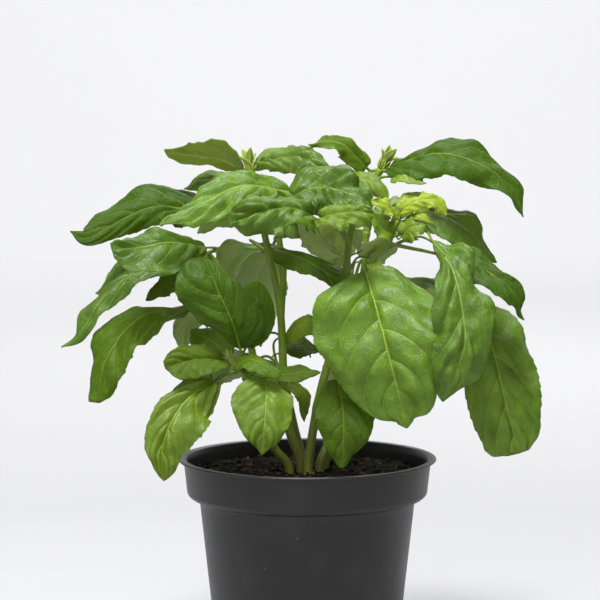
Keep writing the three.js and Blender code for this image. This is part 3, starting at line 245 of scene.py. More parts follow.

# Each leaf: name, shoot, how far along it; midrib; the way the upper face looks; widths of the two halves;
# rise of each half at midrib and margin in degrees; fullness at base and tip; ruffle; youth; tone
# Tone darkens a leaf's green from 0 to 1, set leaf by leaf. It is partly the leaf's own deeper green and
# partly painted shade on leaves that lie in shade, and the tone of 0 on the pale rear leaves seen from below
# is painted light.
LEAVES = [
    ("upper left", "tall", 0.9,
     [(-50.5, 16, 237), (-64.5, 12, 240), (-80.5, 6, 240), (-100.5, -2, 231), (-113.5, -6, 225),
      (-120.5, -6, 229)],
     [(-0.1, -0.75, 0.65), (-0.2, -0.7, 0.7)], (20, 12), (8, -24), (0.5, 0.95), 0.8, 0, 0.95),
    ("top left", "tall", 1, [(-32.5, 9, 260), (-43.5, 12, 265), (-58.5, 14, 267), (-73.5, 12, 270)],
     [(0, 0.6, 0.8), (0, 0.6, 0.8)], (17, 14), (6, 16), (0.6, 0.8, 0.45, 0.8), 0.6, 0.1, 1),
    ("behind glossy", "tall", 0.93, [(-36.5, 21, 248), (-53.5, 29, 254), (-64.5, 32, 249)],
     [(0, -0.5, 0.85), (-0.2, -0.5, 0.85)], (9, 9), (0, -20), (0.6, 0.9), 0.6, 0, 0.5),
    ("under glossy", "tall", 0.88, [(-28.5, 5, 238), (-40.5, 8, 236), (-56.5, 8, 227)],
     [(0, 0.5, 0.85), (0, 0.5, 0.85)], (9, 9), (0, -15), (0.6, 0.9), 0.6, 0, 0.6),
    ("young rounded", "tall", 1, [(-26.5, 6, 263), (-19.5, 8, 269), (-8.5, 9, 270)],
     [(0, -0.6, 0.8), (0.1, -0.6, 0.8)], (7, 6), (10, -50), (0.5, 0.6), 0.5, 0.15, 0.5),
    ("striped", "tall", 0.98, [(-23.5, -1, 262), (-12.5, -5, 266), (0.5, -9, 264), (13.5, -12, 255)],
     [(0, -0.6, 0.8), (0.1, -0.6, 0.8)], (9, 8.5), (18, -30), (0.5, 0.8), 1.6, 0.05, 0.5),
    ("dark crossing", "tall", 0.78, [(-25.5, 12, 222), (-6.5, 6, 216), (9.5, -3, 207), (23.5, -12, 196)],
     [(0.1, -0.5, 0.85), (0.3, -0.6, 0.7)], (9, 10), (0, -20), (0.6, 0.9), 0.6, 0, 0.6),
    ("behind middle", "tall", 0.35, [(-9.5, -13, 152), (-0.5, -17, 147), (-1.5, -18, 133)],
     [(0.6, -0.6, 0.4), (0.7, -0.6, 0.1)], (6, 6), (0, -30), (0.6, 0.9), 0.6, 0.3, 0.8),
    ("behind largest high", "tall", 0.42, [(-11.5, 2, 175), (-3.5, -6, 181), (8.5, -12, 180)],
     [(0, -0.65, 0.75), (0.1, -0.65, 0.75)], (10, 9), (0, -20), (0.6, 0.9), 0.6, 0.2, 0.6),
    ("behind largest low", "tall", 0.4, [(-11.5, 6, 166), (-2.5, 12, 169), (7.5, 16, 166)],
     [(0, -0.6, 0.8), (0.1, -0.6, 0.8)], (9, 9), (0, -20), (0.6, 0.9), 0.6, 0, 0.7),
    ("pale left", "left", 1, [(-51.5, -6, 221), (-68.5, -20, 224), (-83.5, -26, 222), (-97.5, -30, 221)],
     [(0, -0.7, 0.7), (-0.1, -0.75, 0.65)], (10, 18), (4, -20), (0.5, 0.5), 0.9, 0, 0.55),
    ("long left", "left", 0.96,
     [(-62.5, 6, 212), (-85.5, 0, 208), (-103.5, -4, 195), (-116.5, -8, 176), (-125.5, -8, 170)],
     [(-0.2, -0.5, 0.8), (-0.7, -0.5, 0.5)], (14, 10), (0, -20), (0.6, 0.9), 0.8, 0, 0.5),
    ("ruffled rear left", "left", 0.96,
     [(-64.5, 18, 212), (-84.5, 26, 212), (-100.5, 30, 207), (-111.5, 32, 194)],
     [(-0.2, -0.3, 0.9), (-0.6, -0.3, 0.7)], (10, 10), (0, -20), (0.6, 0.8), 1.4, 0, 0.4),
    ("arching left", "left", 0.72,
     [(-60.5, -4, 190), (-79.5, -12, 188), (-93.5, -16, 178), (-101.5, -20, 164), (-105.5, -22, 143)],
     [(-0.1, -0.6, 0.8), (-0.4, -0.7, 0.5), (-0.6, -0.75, 0.1)],
     (14, 14), (0, -25), (0.7, 0.42, 0.5, 0.5), 0.9, 0.04, 0.75),
    ("small dark left", "left", 0.86, [(-58.5, 10, 202), (-70.5, 12, 201), (-83.5, 12, 192)],
     [(-0.2, -0.6, 0.75), (-0.3, -0.6, 0.7)], (9, 8), (0, -20), (0.6, 0.9), 0.6, 0, 0.8),
    ("sliver left", "left", 0.98, [(-52.5, 12, 217), (-45.5, 14, 219), (-36.5, 16, 222)],
     [(0.2, 0.4, 0.85), (0.2, 0.4, 0.85)], (3, 3), (0, -15), (0.6, 0.9), 0.3, 0.4, 0.25),
    ("pale low left", "left", 0.6, [(-44.5, 18, 185), (-60.5, 24, 181), (-65.5, 26, 165)],
     [(-0.3, 0.5, 0.8), (-0.5, 0.6, 0.6)], (11, 11), (0, -20), (0.6, 0.8), 0.8, 0.05, 0),
    ("upright", "low", 1, [(-33.5, -30, 171), (-37.5, -37, 186), (-44.5, -39, 202), (-51.5, -31, 218)],
     [(0.05, -0.95, 0.3), (0.1, -0.95, 0.2), (0.2, -0.9, 0.4)],
     (14, 20), (12, -30), (0.4, 0.9, 0.9, 0.45), 0.8, 0, 0.85),
    ("upright lobe", "low", 0.97,
     [(-30.5, -24, 172), (-25.5, -27, 181), (-24.5, -28, 192), (-28.5, -26, 205)],
     [(0.1, -0.95, 0.2), (0.1, -0.95, 0.2)], (8.5, 9), (10, -30), (0.5, 0.5), 0.7, 0, 0.7),
    ("below upright", "low", 0.93, [(-38.5, -14, 166), (-47.5, -8, 172), (-59.5, 0, 178)],
     [(-0.1, -0.7, 0.7), (-0.2, -0.7, 0.7)], (9, 11), (0, -20), (0.6, 0.7), 0.6, 0, 0.6),
    ("cupped left", "low", 1, [(-41.5, -29, 165), (-51.5, -36, 167), (-61.5, -40, 166), (-70.5, -42, 163)],
     [(0, -0.75, 0.65), (-0.1, -0.8, 0.6)], (9, 13), (20, 10), (0.5, 0.5), 0.8, 0.1, 1),
    ("low left", "low", 0.92,
     [(-46.5, -36, 156), (-58.5, -45, 149), (-67.5, -52, 137), (-71.5, -55, 124), (-70.5, -56, 109)],
     [(-0.2, -0.85, 0.45), (-0.1, -0.95, 0.2), (0, -1, 0.05)],
     (11.5, 17.5), (8, -22), (0.5, 0.8), 0.9, 0.15, 0.5),
    ("low middle", "low", 0.85,
     [(-20.5, -40, 157), (-20.5, -48, 146), (-21.5, -52, 134), (-22.5, -50, 121)],
     [(0, -0.85, 0.5), (0, -0.98, 0.1)], (17.5, 15.5), (8, -22), (0.42, 0.85), 0.7, 0.12, 0.3),
    ("small cupped", "low", 0.97,
     [(-35.5, -32, 164), (-27.5, -38, 167), (-19.5, -43, 163), (-13.5, -45, 159)],
     [(0, -0.6, 0.8), (0.1, -0.6, 0.8)], (7, 6), (10, -40), (0.5, 0.7), 0.6, 0.05, 0.6),
    ("small right", "low", 0.85, [(-16.5, -33, 158), (-4.5, -32, 160), (6.5, -34, 160)],
     [(0, -0.6, 0.8), (0.1, -0.6, 0.8)], (6, 6), (0, -20), (0.6, 0.9), 0.5, 0.1, 0.9),
    ("glossy", "centre", 1, [(-8.5, -10, 249), (-31.5, -22, 253), (-50.5, -32, 246), (-73.5, -38, 234)],
     [(0, -0.6, 0.8), (-0.2, -0.6, 0.8)], (14, 18), (6, -24), (0.6, 1), 1, 0, 0.05),
    ("centre broad", "centre", 0.96,
     [(-6.5, -24, 247), (3.5, -28, 253), (17.5, -34, 251), (32.5, -36, 243)],
     [(0, -0.65, 0.75), (0.1, -0.7, 0.7)], (16, 16), (6, -30), (0.5, 0.6), 2.2, 0, 0.55),
    ("centre left", "centre", 1, [(2.5, -38, 238), (-8.5, -42, 242), (-22.5, -48, 240), (-38.5, -48, 234)],
     [(0, -0.75, 0.65), (0, -0.75, 0.65)], (14, 15), (10, -30), (0.4, 0.7), 2.4, 0.02, 0.5),
    ("centre small", "centre", 1, [(6.5, -43, 237), (12.5, -50, 240), (22.5, -54, 241), (32.5, -52, 240)],
     [(0, -0.8, 0.6), (0, -0.8, 0.6)], (10, 9), (10, -30), (0.4, 0.6), 2, 0.15, 0.45),
    ("centre right", "centre", 0.9, [(14.5, -8, 254), (26.5, -14, 256), (35.5, -20, 253), (40.5, -22, 246)],
     [(0, -0.6, 0.8), (0.2, -0.7, 0.7)], (10, 7), (0, -30), (0.5, 0.7), 0.6, 0.15, 0.35),
    ("top right", "back right", 1,
     [(41.5, 0, 260), (55.5, -8, 267), (69.5, -14, 269), (85.5, -18, 264), (99.5, -20, 253),
      (108.5, -20, 237)],
     [(0, -0.5, 0.85), (0.1, -0.6, 0.75), (0.4, -0.75, 0.5)],
     (17, 17), (6, -34), (0.5, 1.15, 0.6, 1.1), 1.1, 0, 0.85),
    ("top middle", "back right", 1,
     [(30.5, 4, 261), (23.5, 1, 268), (18.5, -2, 273), (9.5, -5, 275), (0.5, -8, 273)],
     [(-0.3, -0.75, 0.5), (-0.2, -0.7, 0.65)], (6, 7), (10, -30), (0.5, 0.8), 0.8, 0.05, 0.6),
    ("top right small", "back right", 0.97, [(42.5, -8, 257), (50.5, -17, 258), (59.5, -22, 254)],
     [(0, -0.6, 0.8), (0.2, -0.6, 0.8)], (7, 6), (0, -20), (0.6, 0.9), 0.4, 0.3, 0.25),
    ("rear pale centre", "back right", 0.72,
     [(17.5, 14, 216), (6.5, 18, 221), (-5.5, 24, 230), (-14.5, 30, 234)],
     [(0, 0.6, 0.8), (0, 0.6, 0.8)], (13, 13), (0, -20), (0.6, 0.9), 0.8, 0.05, 0),
    ("rear pale right", "back right", 0.72, [(25.5, 12, 217), (34.5, 16, 222), (45.5, 20, 226)],
     [(0, 0.5, 0.85), (0, 0.5, 0.85)], (10, 9), (0, -20), (0.6, 0.9), 0.8, 0, 0),
    ("rear grey right", "back right", 0.7, [(31.5, 18, 214), (40.5, 24, 214), (47.5, 32, 218)],
     [(0, 0.7, 0.7), (0, 0.7, 0.7)], (7, 7), (0, -20), (0.6, 0.9), 0.8, 0, 0),
    ("largest", "right", 0.72, [(28.5, -42, 211), (34.5, -58, 191), (40.5, -65, 168), (48.5, -62, 136)],
     [(0.15, -0.75, 0.6), (-0.1, -0.9, 0.4), (-0.2, -1, 0.1), (-0.1, -1, -0.1)],
     (33, 31), (10, -22), (0.34, 0.55, 0.28, 0.52), 0.45, 0, 0.05),
    ("small at largest", "right", 0.74, [(29.5, -34, 214), (35.5, -38, 213), (42.5, -38, 209)],
     [(0, -0.5, 0.85), (0.1, -0.5, 0.85)], (4, 4), (0, -20), (0.6, 0.9), 0.3, 0.5, 0.25),
    ("low right", "right", 0.4, [(14.5, -44, 158), (17.5, -54, 143), (17.5, -57, 128), (16.5, -56, 115)],
     [(0, -0.85, 0.5), (0, -0.98, 0.1)], (15, 16), (8, -22), (0.5, 0.75), 0.7, 0.05, 1),
    ("front right", "right", 0.95,
     [(61.5, -42, 227), (68.5, -55, 218), (73.5, -66, 202), (75.5, -71, 181), (71.5, -72, 165),
      (65.5, -69, 150)],
     [(0.2, -0.7, 0.7), (0.25, -0.95, 0.1), (0.2, -0.95, -0.2)],
     (15, 15), (0, -30), (1, 0.6, 0.7, 0.85), 1.2, 0, 0.35),
    ("far right", "right", 0.93, [(83.5, -12, 195), (92.5, -24, 172), (98.5, -32, 147), (105.5, -34, 119)],
     [(0.3, -0.85, 0.4), (0.3, -0.9, 0.3)], (19.5, 21.5), (6, -14), (0.4, 0.22, 0.35, 0.38), 0.55, 0, 0.3),
    ("right shoulder", "right", 0.9,
     [(65.5, -24, 223), (80.5, -32, 216), (93.5, -39, 208), (103.5, -41, 197), (107.5, -41, 187)],
     [(0, -0.5, 0.85), (0.4, -0.6, 0.7), (0.8, -0.5, 0.3)], (14, 10), (0, -24), (0.6, 0.9), 0.8, 0, 0.9),
    ("right broad", "right", 0.93, [(55.5, -6, 240), (69.5, -8, 237), (83.5, -8, 228), (96.5, -6, 213)],
     [(0.1, -0.6, 0.8), (0.3, -0.6, 0.75)], (15, 11), (0, -20), (0.5, 0.8), 0.6, 0, 0.5),
    ("young up", "right", 1, [(44.5, -31, 238), (39.5, -36, 243), (31.5, -38, 246)],
     [(-0.2, -0.6, 0.7), (-0.2, -0.7, 0.7)], (6, 5), (10, -20), (0.5, 0.8), 1.2, 0.65, 0.25),
    ("young arching", "right", 1, [(46.5, -32, 240), (53.5, -35, 246), (62.5, -36, 246), (69.5, -35, 239)],
     [(0, -0.6, 0.8), (0.3, -0.6, 0.7)], (7, 6), (10, -30), (0.5, 0.7), 1.4, 0.7, 0.25),
    ("young cup", "right", 0.98, [(42.5, -34, 229), (36.5, -38, 233), (32.5, -40, 240)],
     [(0.1, -0.9, 0.4), (0.1, -0.9, 0.4)], (7, 6), (20, 0), (0.5, 0.7), 1, 0.15, 0.25),
    ("young round", "right", 0.98, [(46.5, -34, 228), (51.5, -38, 233), (58.5, -39, 234)],
     [(0, -0.9, 0.4), (0, -0.9, 0.4)], (7, 6), (10, -25), (0.5, 0.6), 1.2, 0.2, 0.25),
    ("young arching low", "right", 0.98, [(48.5, -30, 236), (55.5, -37, 239), (63.5, -38, 234)],
     [(0, -0.7, 0.7), (0.3, -0.7, 0.6)], (3.5, 3.5), (10, -30), (0.6, 0.9), 0.4, 0.5, 0.25),
    ("young behind", "right", 1, [(45.5, -25, 241), (51.5, -20, 247), (57.5, -16, 249)],
     [(0, -0.6, 0.8), (0, -0.6, 0.8)], (4, 4), (10, -30), (0.6, 0.9), 0.4, 0.5, 0.25),
    ("rear pale low", "rear left", 0.86,
     [(-16.5, 36, 218), (-25.5, 40, 204), (-28.5, 40, 185), (-24.5, 38, 165)],
     [(0, 0.8, 0.5), (0, 0.95, 0.2)], (17, 14), (0, -20), (0.6, 0.9), 0.8, 0, 0),
    ("rear high left", "rear left", 1,
     [(-23.5, 44, 236), (-36.5, 58, 242), (-50.5, 70, 238), (-62.5, 78, 227)],
     [(-0.3, 0.5, 0.8), (-0.5, 0.6, 0.6)], (16, 16), (6, -24), (0.55, 0.9), 1, 0, 0.25),
    ("rear middle", "rear left", 0.98,
     [(-22.5, 50, 216), (-31.5, 64, 212), (-36.5, 78, 194), (-38.5, 84, 170)],
     [(-0.2, 0.7, 0.7), (-0.1, 1, 0.1)], (17, 17), (6, -24), (0.5, 0.8), 1, 0, 0.25),
    ("rear side left", "rear left", 0.58,
     [(-24.5, 44, 172), (-40.5, 52, 172), (-52.5, 56, 160), (-56.5, 58, 142)],
     [(-0.5, 0.6, 0.6), (-0.6, 0.8, 0.1)], (14, 14), (6, -24), (0.5, 0.8), 0.9, 0, 0.25),
    ("rear low left", "rear left", 0.52,
     [(-26.5, 30, 160), (-41.5, 38, 157), (-55.5, 44, 144), (-61.5, 48, 126)],
     [(-0.5, 0.6, 0.6), (-0.5, 0.85, 0.1)], (12, 12), (6, -24), (0.5, 0.8), 0.8, 0, 0.25),
    ("rear low centre", "rear left", 0.48,
     [(-16.5, 36, 156), (-22.5, 50, 155), (-22.5, 62, 142), (-20.5, 68, 125)],
     [(0, 0.7, 0.7), (0, 1, 0.1)], (13, 13), (6, -24), (0.5, 0.8), 0.8, 0, 0.25),
    ("rear low middle", "rear right", 0.5,
     [(23.5, 34, 160), (21.5, 50, 159), (21.5, 64, 144), (21.5, 72, 124)],
     [(0, 0.7, 0.7), (0, 1, 0.1)], (14, 14), (6, -24), (0.5, 0.8), 0.8, 0, 0.25),
    ("rear high right", "rear right", 1,
     [(39.5, 46, 236), (51.5, 60, 241), (61.5, 70, 237), (71.5, 76, 227)],
     [(0.3, 0.5, 0.8), (0.5, 0.6, 0.6)], (16, 16), (6, -24), (0.55, 0.9), 1, 0, 0.25),
    ("rear centre", "rear right", 1, [(24.5, 50, 227), (19.5, 66, 227), (15.5, 80, 217), (11.5, 88, 201)],
     [(0, 0.6, 0.8), (0, 1, 0.3)], (15, 15), (6, -24), (0.5, 0.8), 0.9, 0, 0.25),
    ("rear side right", "rear right", 0.78,
     [(39.5, 42, 196), (57.5, 54, 196), (73.5, 64, 184), (83.5, 70, 162)],
     [(0.5, 0.6, 0.6), (0.6, 0.8, 0.1)], (18, 18), (6, -24), (0.5, 0.8), 1, 0, 0.25),
    ("rear low right", "rear right", 0.54,
     [(33.5, 32, 165), (49.5, 44, 162), (59.5, 54, 148), (65.5, 62, 128)],
     [(0.5, 0.6, 0.6), (0.5, 0.85, 0.1)], (15, 15), (6, -24), (0.5, 0.8), 0.8, 0, 0.25),
    ("side right", "rear right", 0.8, [(47.5, 22, 200), (65.5, 24, 200), (83.5, 24, 190), (95.5, 22, 170)],
     [(0.4, 0.1, 0.9), (0.8, 0.2, 0.3)], (15, 15), (6, -24), (0.55, 0.8), 0.8, 0, 0.25),
]


def linear(text):
    """An sRGB hex colour as linear red, green, blue and alpha."""
    parts = [int(text[i:i + 2], 16) / 255 for i in (1, 3, 5)]
    return tuple(p / 12.92 if p <= 0.04045 else ((p + 0.055) / 1.055) ** 2.4 for p in parts) + (1.0,)


def add_node(tree, kind, *values, **settings):
    """Adds a node of a kind in NODES. Numbers, hex colours, sockets or nodes go to its sockets in turn, or to
    the ones that a dictionary names. A node feeds the first of its outputs that is in use."""
    node_type, fixed, sockets = NODES[kind]
    made = tree.nodes.new(node_type)
    for key, value in {**fixed, **settings}.items():
        setattr(made, key, value)
    named = values[0] if isinstance(values and values[0], dict) else dict(zip(sockets, values))
    for key, value in named.items():
        if isinstance(value, bpy.types.Node):
            value = next(socket for socket in value.outputs if socket.enabled)
        if isinstance(value, bpy.types.NodeSocket):
            tree.links.new(value, made.inputs[key])
        else:
            made.inputs[key].default_value = linear(value) if isinstance(value, str) else value
    return made


def new_material(name):
    """An empty node material, and add_node() for its tree."""
    material = bpy.data.materials.new(name)
    material.use_nodes = True
    material.node_tree.nodes.clear()
    return material, functools.partial(add_node, material.node_tree)


def unit(a):
    """Rows of vectors scaled to length one."""
    return a / np.maximum(np.linalg.norm(a, axis=-1, keepdims=True), 1e-9)


def across_to(vector, direction):
    """The part of a vector that stands square to a direction, at length one."""
    return unit(vector - vector.dot(direction) * direction)


def run_length(line):
    """The length of a line of points."""
    return np.linalg.norm(np.diff(line, axis=0), axis=1).sum()


def spread(values, at, where):
    """Rows of values known at some places, read off at others."""
    return np.stack([np.interp(where, at, values[:, k]) for k in range(values.shape[1])], 1)


def smooth_line(points, count):
    """A centripetal Catmull-Rom curve through the points, as count + 1 places alike in length."""
    p = np.array(points, float)
    q = np.vstack([2 * p[0] - p[1], p, 2 * p[-1] - p[-2]])
    t = np.linspace(0, 1, SPAN, endpoint=False)[:, None]
    pieces = []
    for i in range(1, len(q) - 2):
        p0, p1, p2, p3 = q[i - 1:i + 3]
        d0, d1, d2 = (max(np.linalg.norm(b - a) ** 0.5, 1e-6) for a, b in ((p0, p1), (p1, p2), (p2, p3)))
        m1 = ((p1 - p0) / d0 - (p2 - p0) / (d0 + d1) + (p2 - p1) / d1) * d1
        m2 = ((p2 - p1) / d1 - (p3 - p1) / (d1 + d2) + (p3 - p2) / d2) * d1
        square, cube = -3 * p1 + 3 * p2 - 2 * m1 - m2, 2 * p1 - 2 * p2 + m1 + m2
        pieces.append(p1 + m1 * t + square * t ** 2 + cube * t ** 3)
    fine = np.vstack(pieces + [p[-1:]])
    run = np.concatenate([[0], np.cumsum(np.linalg.norm(np.diff(fine, axis=0), axis=1))])
    return spread(fine, run, np.linspace(0, run[-1], count + 1))


def noise(p, seed=0):
    """Smooth noise from -1 to 1 at rows of points: hashed whole-number corners, blended with 3t2 - 2t3."""
    cell = np.floor(p).astype(np.int64)
    t = p - cell
    t = t * t * (3 - 2 * t)
    total = np.zeros(len(p))
    for corner in range(8):
        bits = np.array([corner & 1, corner >> 1 & 1, corner >> 2 & 1])
        h = ((cell + bits) @ np.array(SCATTER) + seed * SEED_SCATTER) & BITS
        h = ((h ^ (h >> 13)) * LAST_SCATTER) & BITS
        h = (h ^ (h >> 16)) / BITS
        total += np.prod(np.where(bits, t, 1 - t), axis=1) * (2 * h - 1)
    return total


class Surface:
    """Points, four-cornered faces and named values for each point, gathered for one mesh."""

    def __init__(self):
        self.points, self.faces, self.values, self.count = [], [], {}, 0

    def add(self, points, faces, **values):
        """Adds a piece; each value is one number or one number a point."""
        self.faces.append(np.asarray(faces) + self.count)
        self.points.append(points)
        for key, value in values.items():
            self.values.setdefault(key, []).append(np.broadcast_to(np.asarray(value, float), (len(points),)))
        self.count += len(points)

    def weld(self):
        """Joins points that lie within a ten-thousandth of a millimetre of each other."""
        points, faces = np.vstack(self.points), np.vstack(self.faces)
        first, inverse = np.unique(np.round(points, 4), axis=0, return_index=True, return_inverse=True)[1:]
        self.points, self.faces = [points[first]], [inverse.ravel()[faces]]

    def make(self, name, materials, replaced=None, slot=None):
        """Makes the object in metres, smooth shaded. With a slot it rides on the root. Where there are two
        materials, the faces of deep toned leaves get the second."""
        mesh = bpy.data.meshes.new(name)
        points = np.vstack(self.points) * MM
        faces = np.vstack(self.faces)
        mesh.vertices.add(len(points))
        mesh.vertices.foreach_set("co", points.astype(np.float32).ravel())
        mesh.loops.add(faces.size)
        mesh.loops.foreach_set("vertex_index", faces.astype(np.int32).ravel())
        mesh.polygons.add(len(faces))
        mesh.polygons.foreach_set("loop_start", np.arange(0, faces.size, 4, dtype=np.int32))
        mesh.polygons.foreach_set("use_smooth", np.ones(len(faces), dtype=bool))
        for key, parts in self.values.items():
            layer = mesh.attributes.new(key, "FLOAT", "POINT")
            layer.data.foreach_set("value", np.concatenate(parts).astype(np.float32))
        mesh.update(calc_edges=True)
        mesh.validate()
        for material in materials:
            mesh.materials.append(material)
        if len(materials) == 2:
            deep = np.concatenate(self.values["tone"])[faces[:, 0]] > DEEP_TONE
            mesh.polygons.foreach_set("material_index", deep.astype(np.int32))
        made = bpy.data.objects.new(name, mesh)
        bpy.context.scene.collection.objects.link(made)
        if slot is not None:
            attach(made, "root")
        if replaced is not None:
            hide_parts(replaced)
        return made


def sheet_faces(rows, places, flip=False):
    """The faces of a grid of rows by places, anticlockwise where a row runs right and rows go up."""
    i, j = np.meshgrid(np.arange(rows - 1), np.arange(places - 1), indexing="ij")
    a = (i * places + j).ravel()
    faces = np.stack([a, a + 1, a + places + 1, a + places], 1)
    return faces[:, ::-1] if flip else faces


def ring_faces(rings, sides):
    """The faces between closed rings, outward where a ring runs anticlockwise seen from its far end."""
    k, s = np.meshgrid(np.arange(rings - 1), np.arange(sides), indexing="ij")
    a = (k * sides + s).ravel()
    b = (k * sides + (s + 1) % sides).ravel()
    return np.stack([a, b, b + sides, a + sides], 1)


def cap_faces(first, sides, flip=False):
    """Four-cornered faces that close a ring of an even number of points, in strips across it."""
    k = np.arange(sides // 2 - 1)
    faces = np.stack([first + k, first + k + 1, first + sides - 2 - k, first + sides - 1 - k], 1)
    return faces[:, ::-1] if flip else faces


def around(sides):
    """Even angles once round an axis."""
    return np.arange(sides) / sides * FULL_TURN


def turned(radii, heights, angles):
    """Rings of points round the axis, one for each radius and height."""
    r, z = np.asarray(radii).reshape(len(heights), -1), np.reshape(heights, (-1, 1))
    return np.stack([r * np.cos(angles), r * np.sin(angles), np.repeat(z, len(angles), 1)], -1)


def fullness(u, base, tip):
    """How full a half blade is along the midrib: u^base times (1 - u)^tip, 1 at its widest."""
    widest = base / (base + tip)
    return u ** base * (1 - u) ** tip / (widest ** base * (1 - widest) ** tip)


def vein_place(u, v, side):
    """Side veins: whole numbers of this field. It falls behind with the distance from the midrib, so that
    veins sweep forward, and the two halves are a little out of step."""
    return (u - VEIN_SWEEP * v ** VEIN_CURVE + np.where(side > 0, VEIN_OFFSET, -VEIN_OFFSET)) / VEIN_STEP


def half_outline(leaf, u, length, size, seed, side):
    """One half's fullness and width along the midrib: fullness() with small teeth and slow lobes, and a short
    point where a blunt blade has one."""
    half = 0 if side > 0 else 1
    base, tip = (leaf.ends * 2)[2 * half:2 * half + 2]
    point = POINT_LENGTH.get(leaf.name, 0)
    pointed = POINT_SLOPE * np.minimum((1 - u) * length, point) * (u > 0.5)
    full = fullness(np.minimum(u / (1 - point / length), 1), base, tip)
    width = np.maximum(leaf.halves[half] * full, BLADE_END + pointed)
    saw = (u * (TEETH + seed % 4) + 0.25 * side) % 1
    depth = TOOTH_DEPTH * size / max(leaf.halves[half], 4)
    width = width * (1 + depth * (saw - 0.5) * np.clip(6 * full - 1, 0, 1))
    lobes = noise(np.stack([LOBES * u + 3 * half, 0 * u, 0 * u + 0.5], 1), seed)
    return full, width * (1 + (0.04 + 0.06 * leaf.ruffle) * lobes)


def half_sheet(leaf, u, cells, lines, full, width, seed, side):
    """One half of a blade: how far out each point lies, and the points. The half leaves the midrib at its
    first fold angle and turns evenly to the second at the margin, and the margin waves."""
    centre, across, up = lines
    inner = 1 - np.minimum(MARGIN_ROUND / width, 0.3)
    v = np.concatenate([np.linspace(0, 1, cells)[None, :] * inner[:, None], np.ones((len(u), 1))], 1)
    start, bend = math.radians(leaf.fold[0]), math.radians(leaf.fold[1] - leaf.fold[0])
    out = (np.sin(start + bend * v) - math.sin(start)) / bend
    rise = (math.cos(start) - np.cos(start + bend * v)) / bend
    slow = np.sin(FULL_TURN * (SLOW_WAVES * u + 0.13 * len(leaf.name) + (0.37 if side < 0 else 0)))
    fine = np.sin(FULL_TURN * (FINE_WAVES * u + 0.21 * side + 0.1 * seed))
    wave = leaf.ruffle * v ** 2 * (slow * np.minimum(1, 4 * full))[:, None]
    wave += 0.5 * leaf.ruffle * v ** 3 * (fine * full)[:, None]
    grid = centre[:, None] + (side * width[:, None] * out)[..., None] * across[:, None]
    return v, grid + (width[:, None] * rise + wave)[..., None] * up[:, None]


def puckers(leaf, u, v, side, full, aside, place, length, size, seed):
    """How far each point is lifted: the blade is puckered upward between its side veins, crumpled, and thrown
    into wide folds toward the margin."""
    def swell(x, y, layer):
        """Noise over the flat blade, another one for each layer."""
        p = np.stack([x.ravel(), (y * side).ravel(), np.full(x.size, seed + 0.37 * layer)], 1)
        return noise(p, layer).reshape(v.shape)

    reach = u[:, None] * length + 0 * v
    wide = 8 + 7 * size
    rolls = swell(0.9 * place, aside / (10 * size), 1)
    crumples = swell(reach / 5.5, aside / 4.5, 2)
    folds = swell(reach / wide, aside / (0.8 * wide), 3)
    inside = np.clip(aside / 2.5, 0, 1) * np.clip(1.15 - v ** 3, 0, 1) * np.minimum(1, 2 * full)
    between = np.abs(np.sin(math.pi * place)) ** 0.9
    puff = (0.9 + 1.2 * leaf.ruffle) * size
    lift = puff * between * inside * np.clip(0.5 + 1.6 * rolls, 0, 2)
    lift += (0.25 + 0.3 * leaf.ruffle) * puff * crumples * inside
    return lift + (2 + 3 * leaf.ruffle) * size * folds * (0.2 + 1.05 * v) * np.minimum(1, 3 * full)


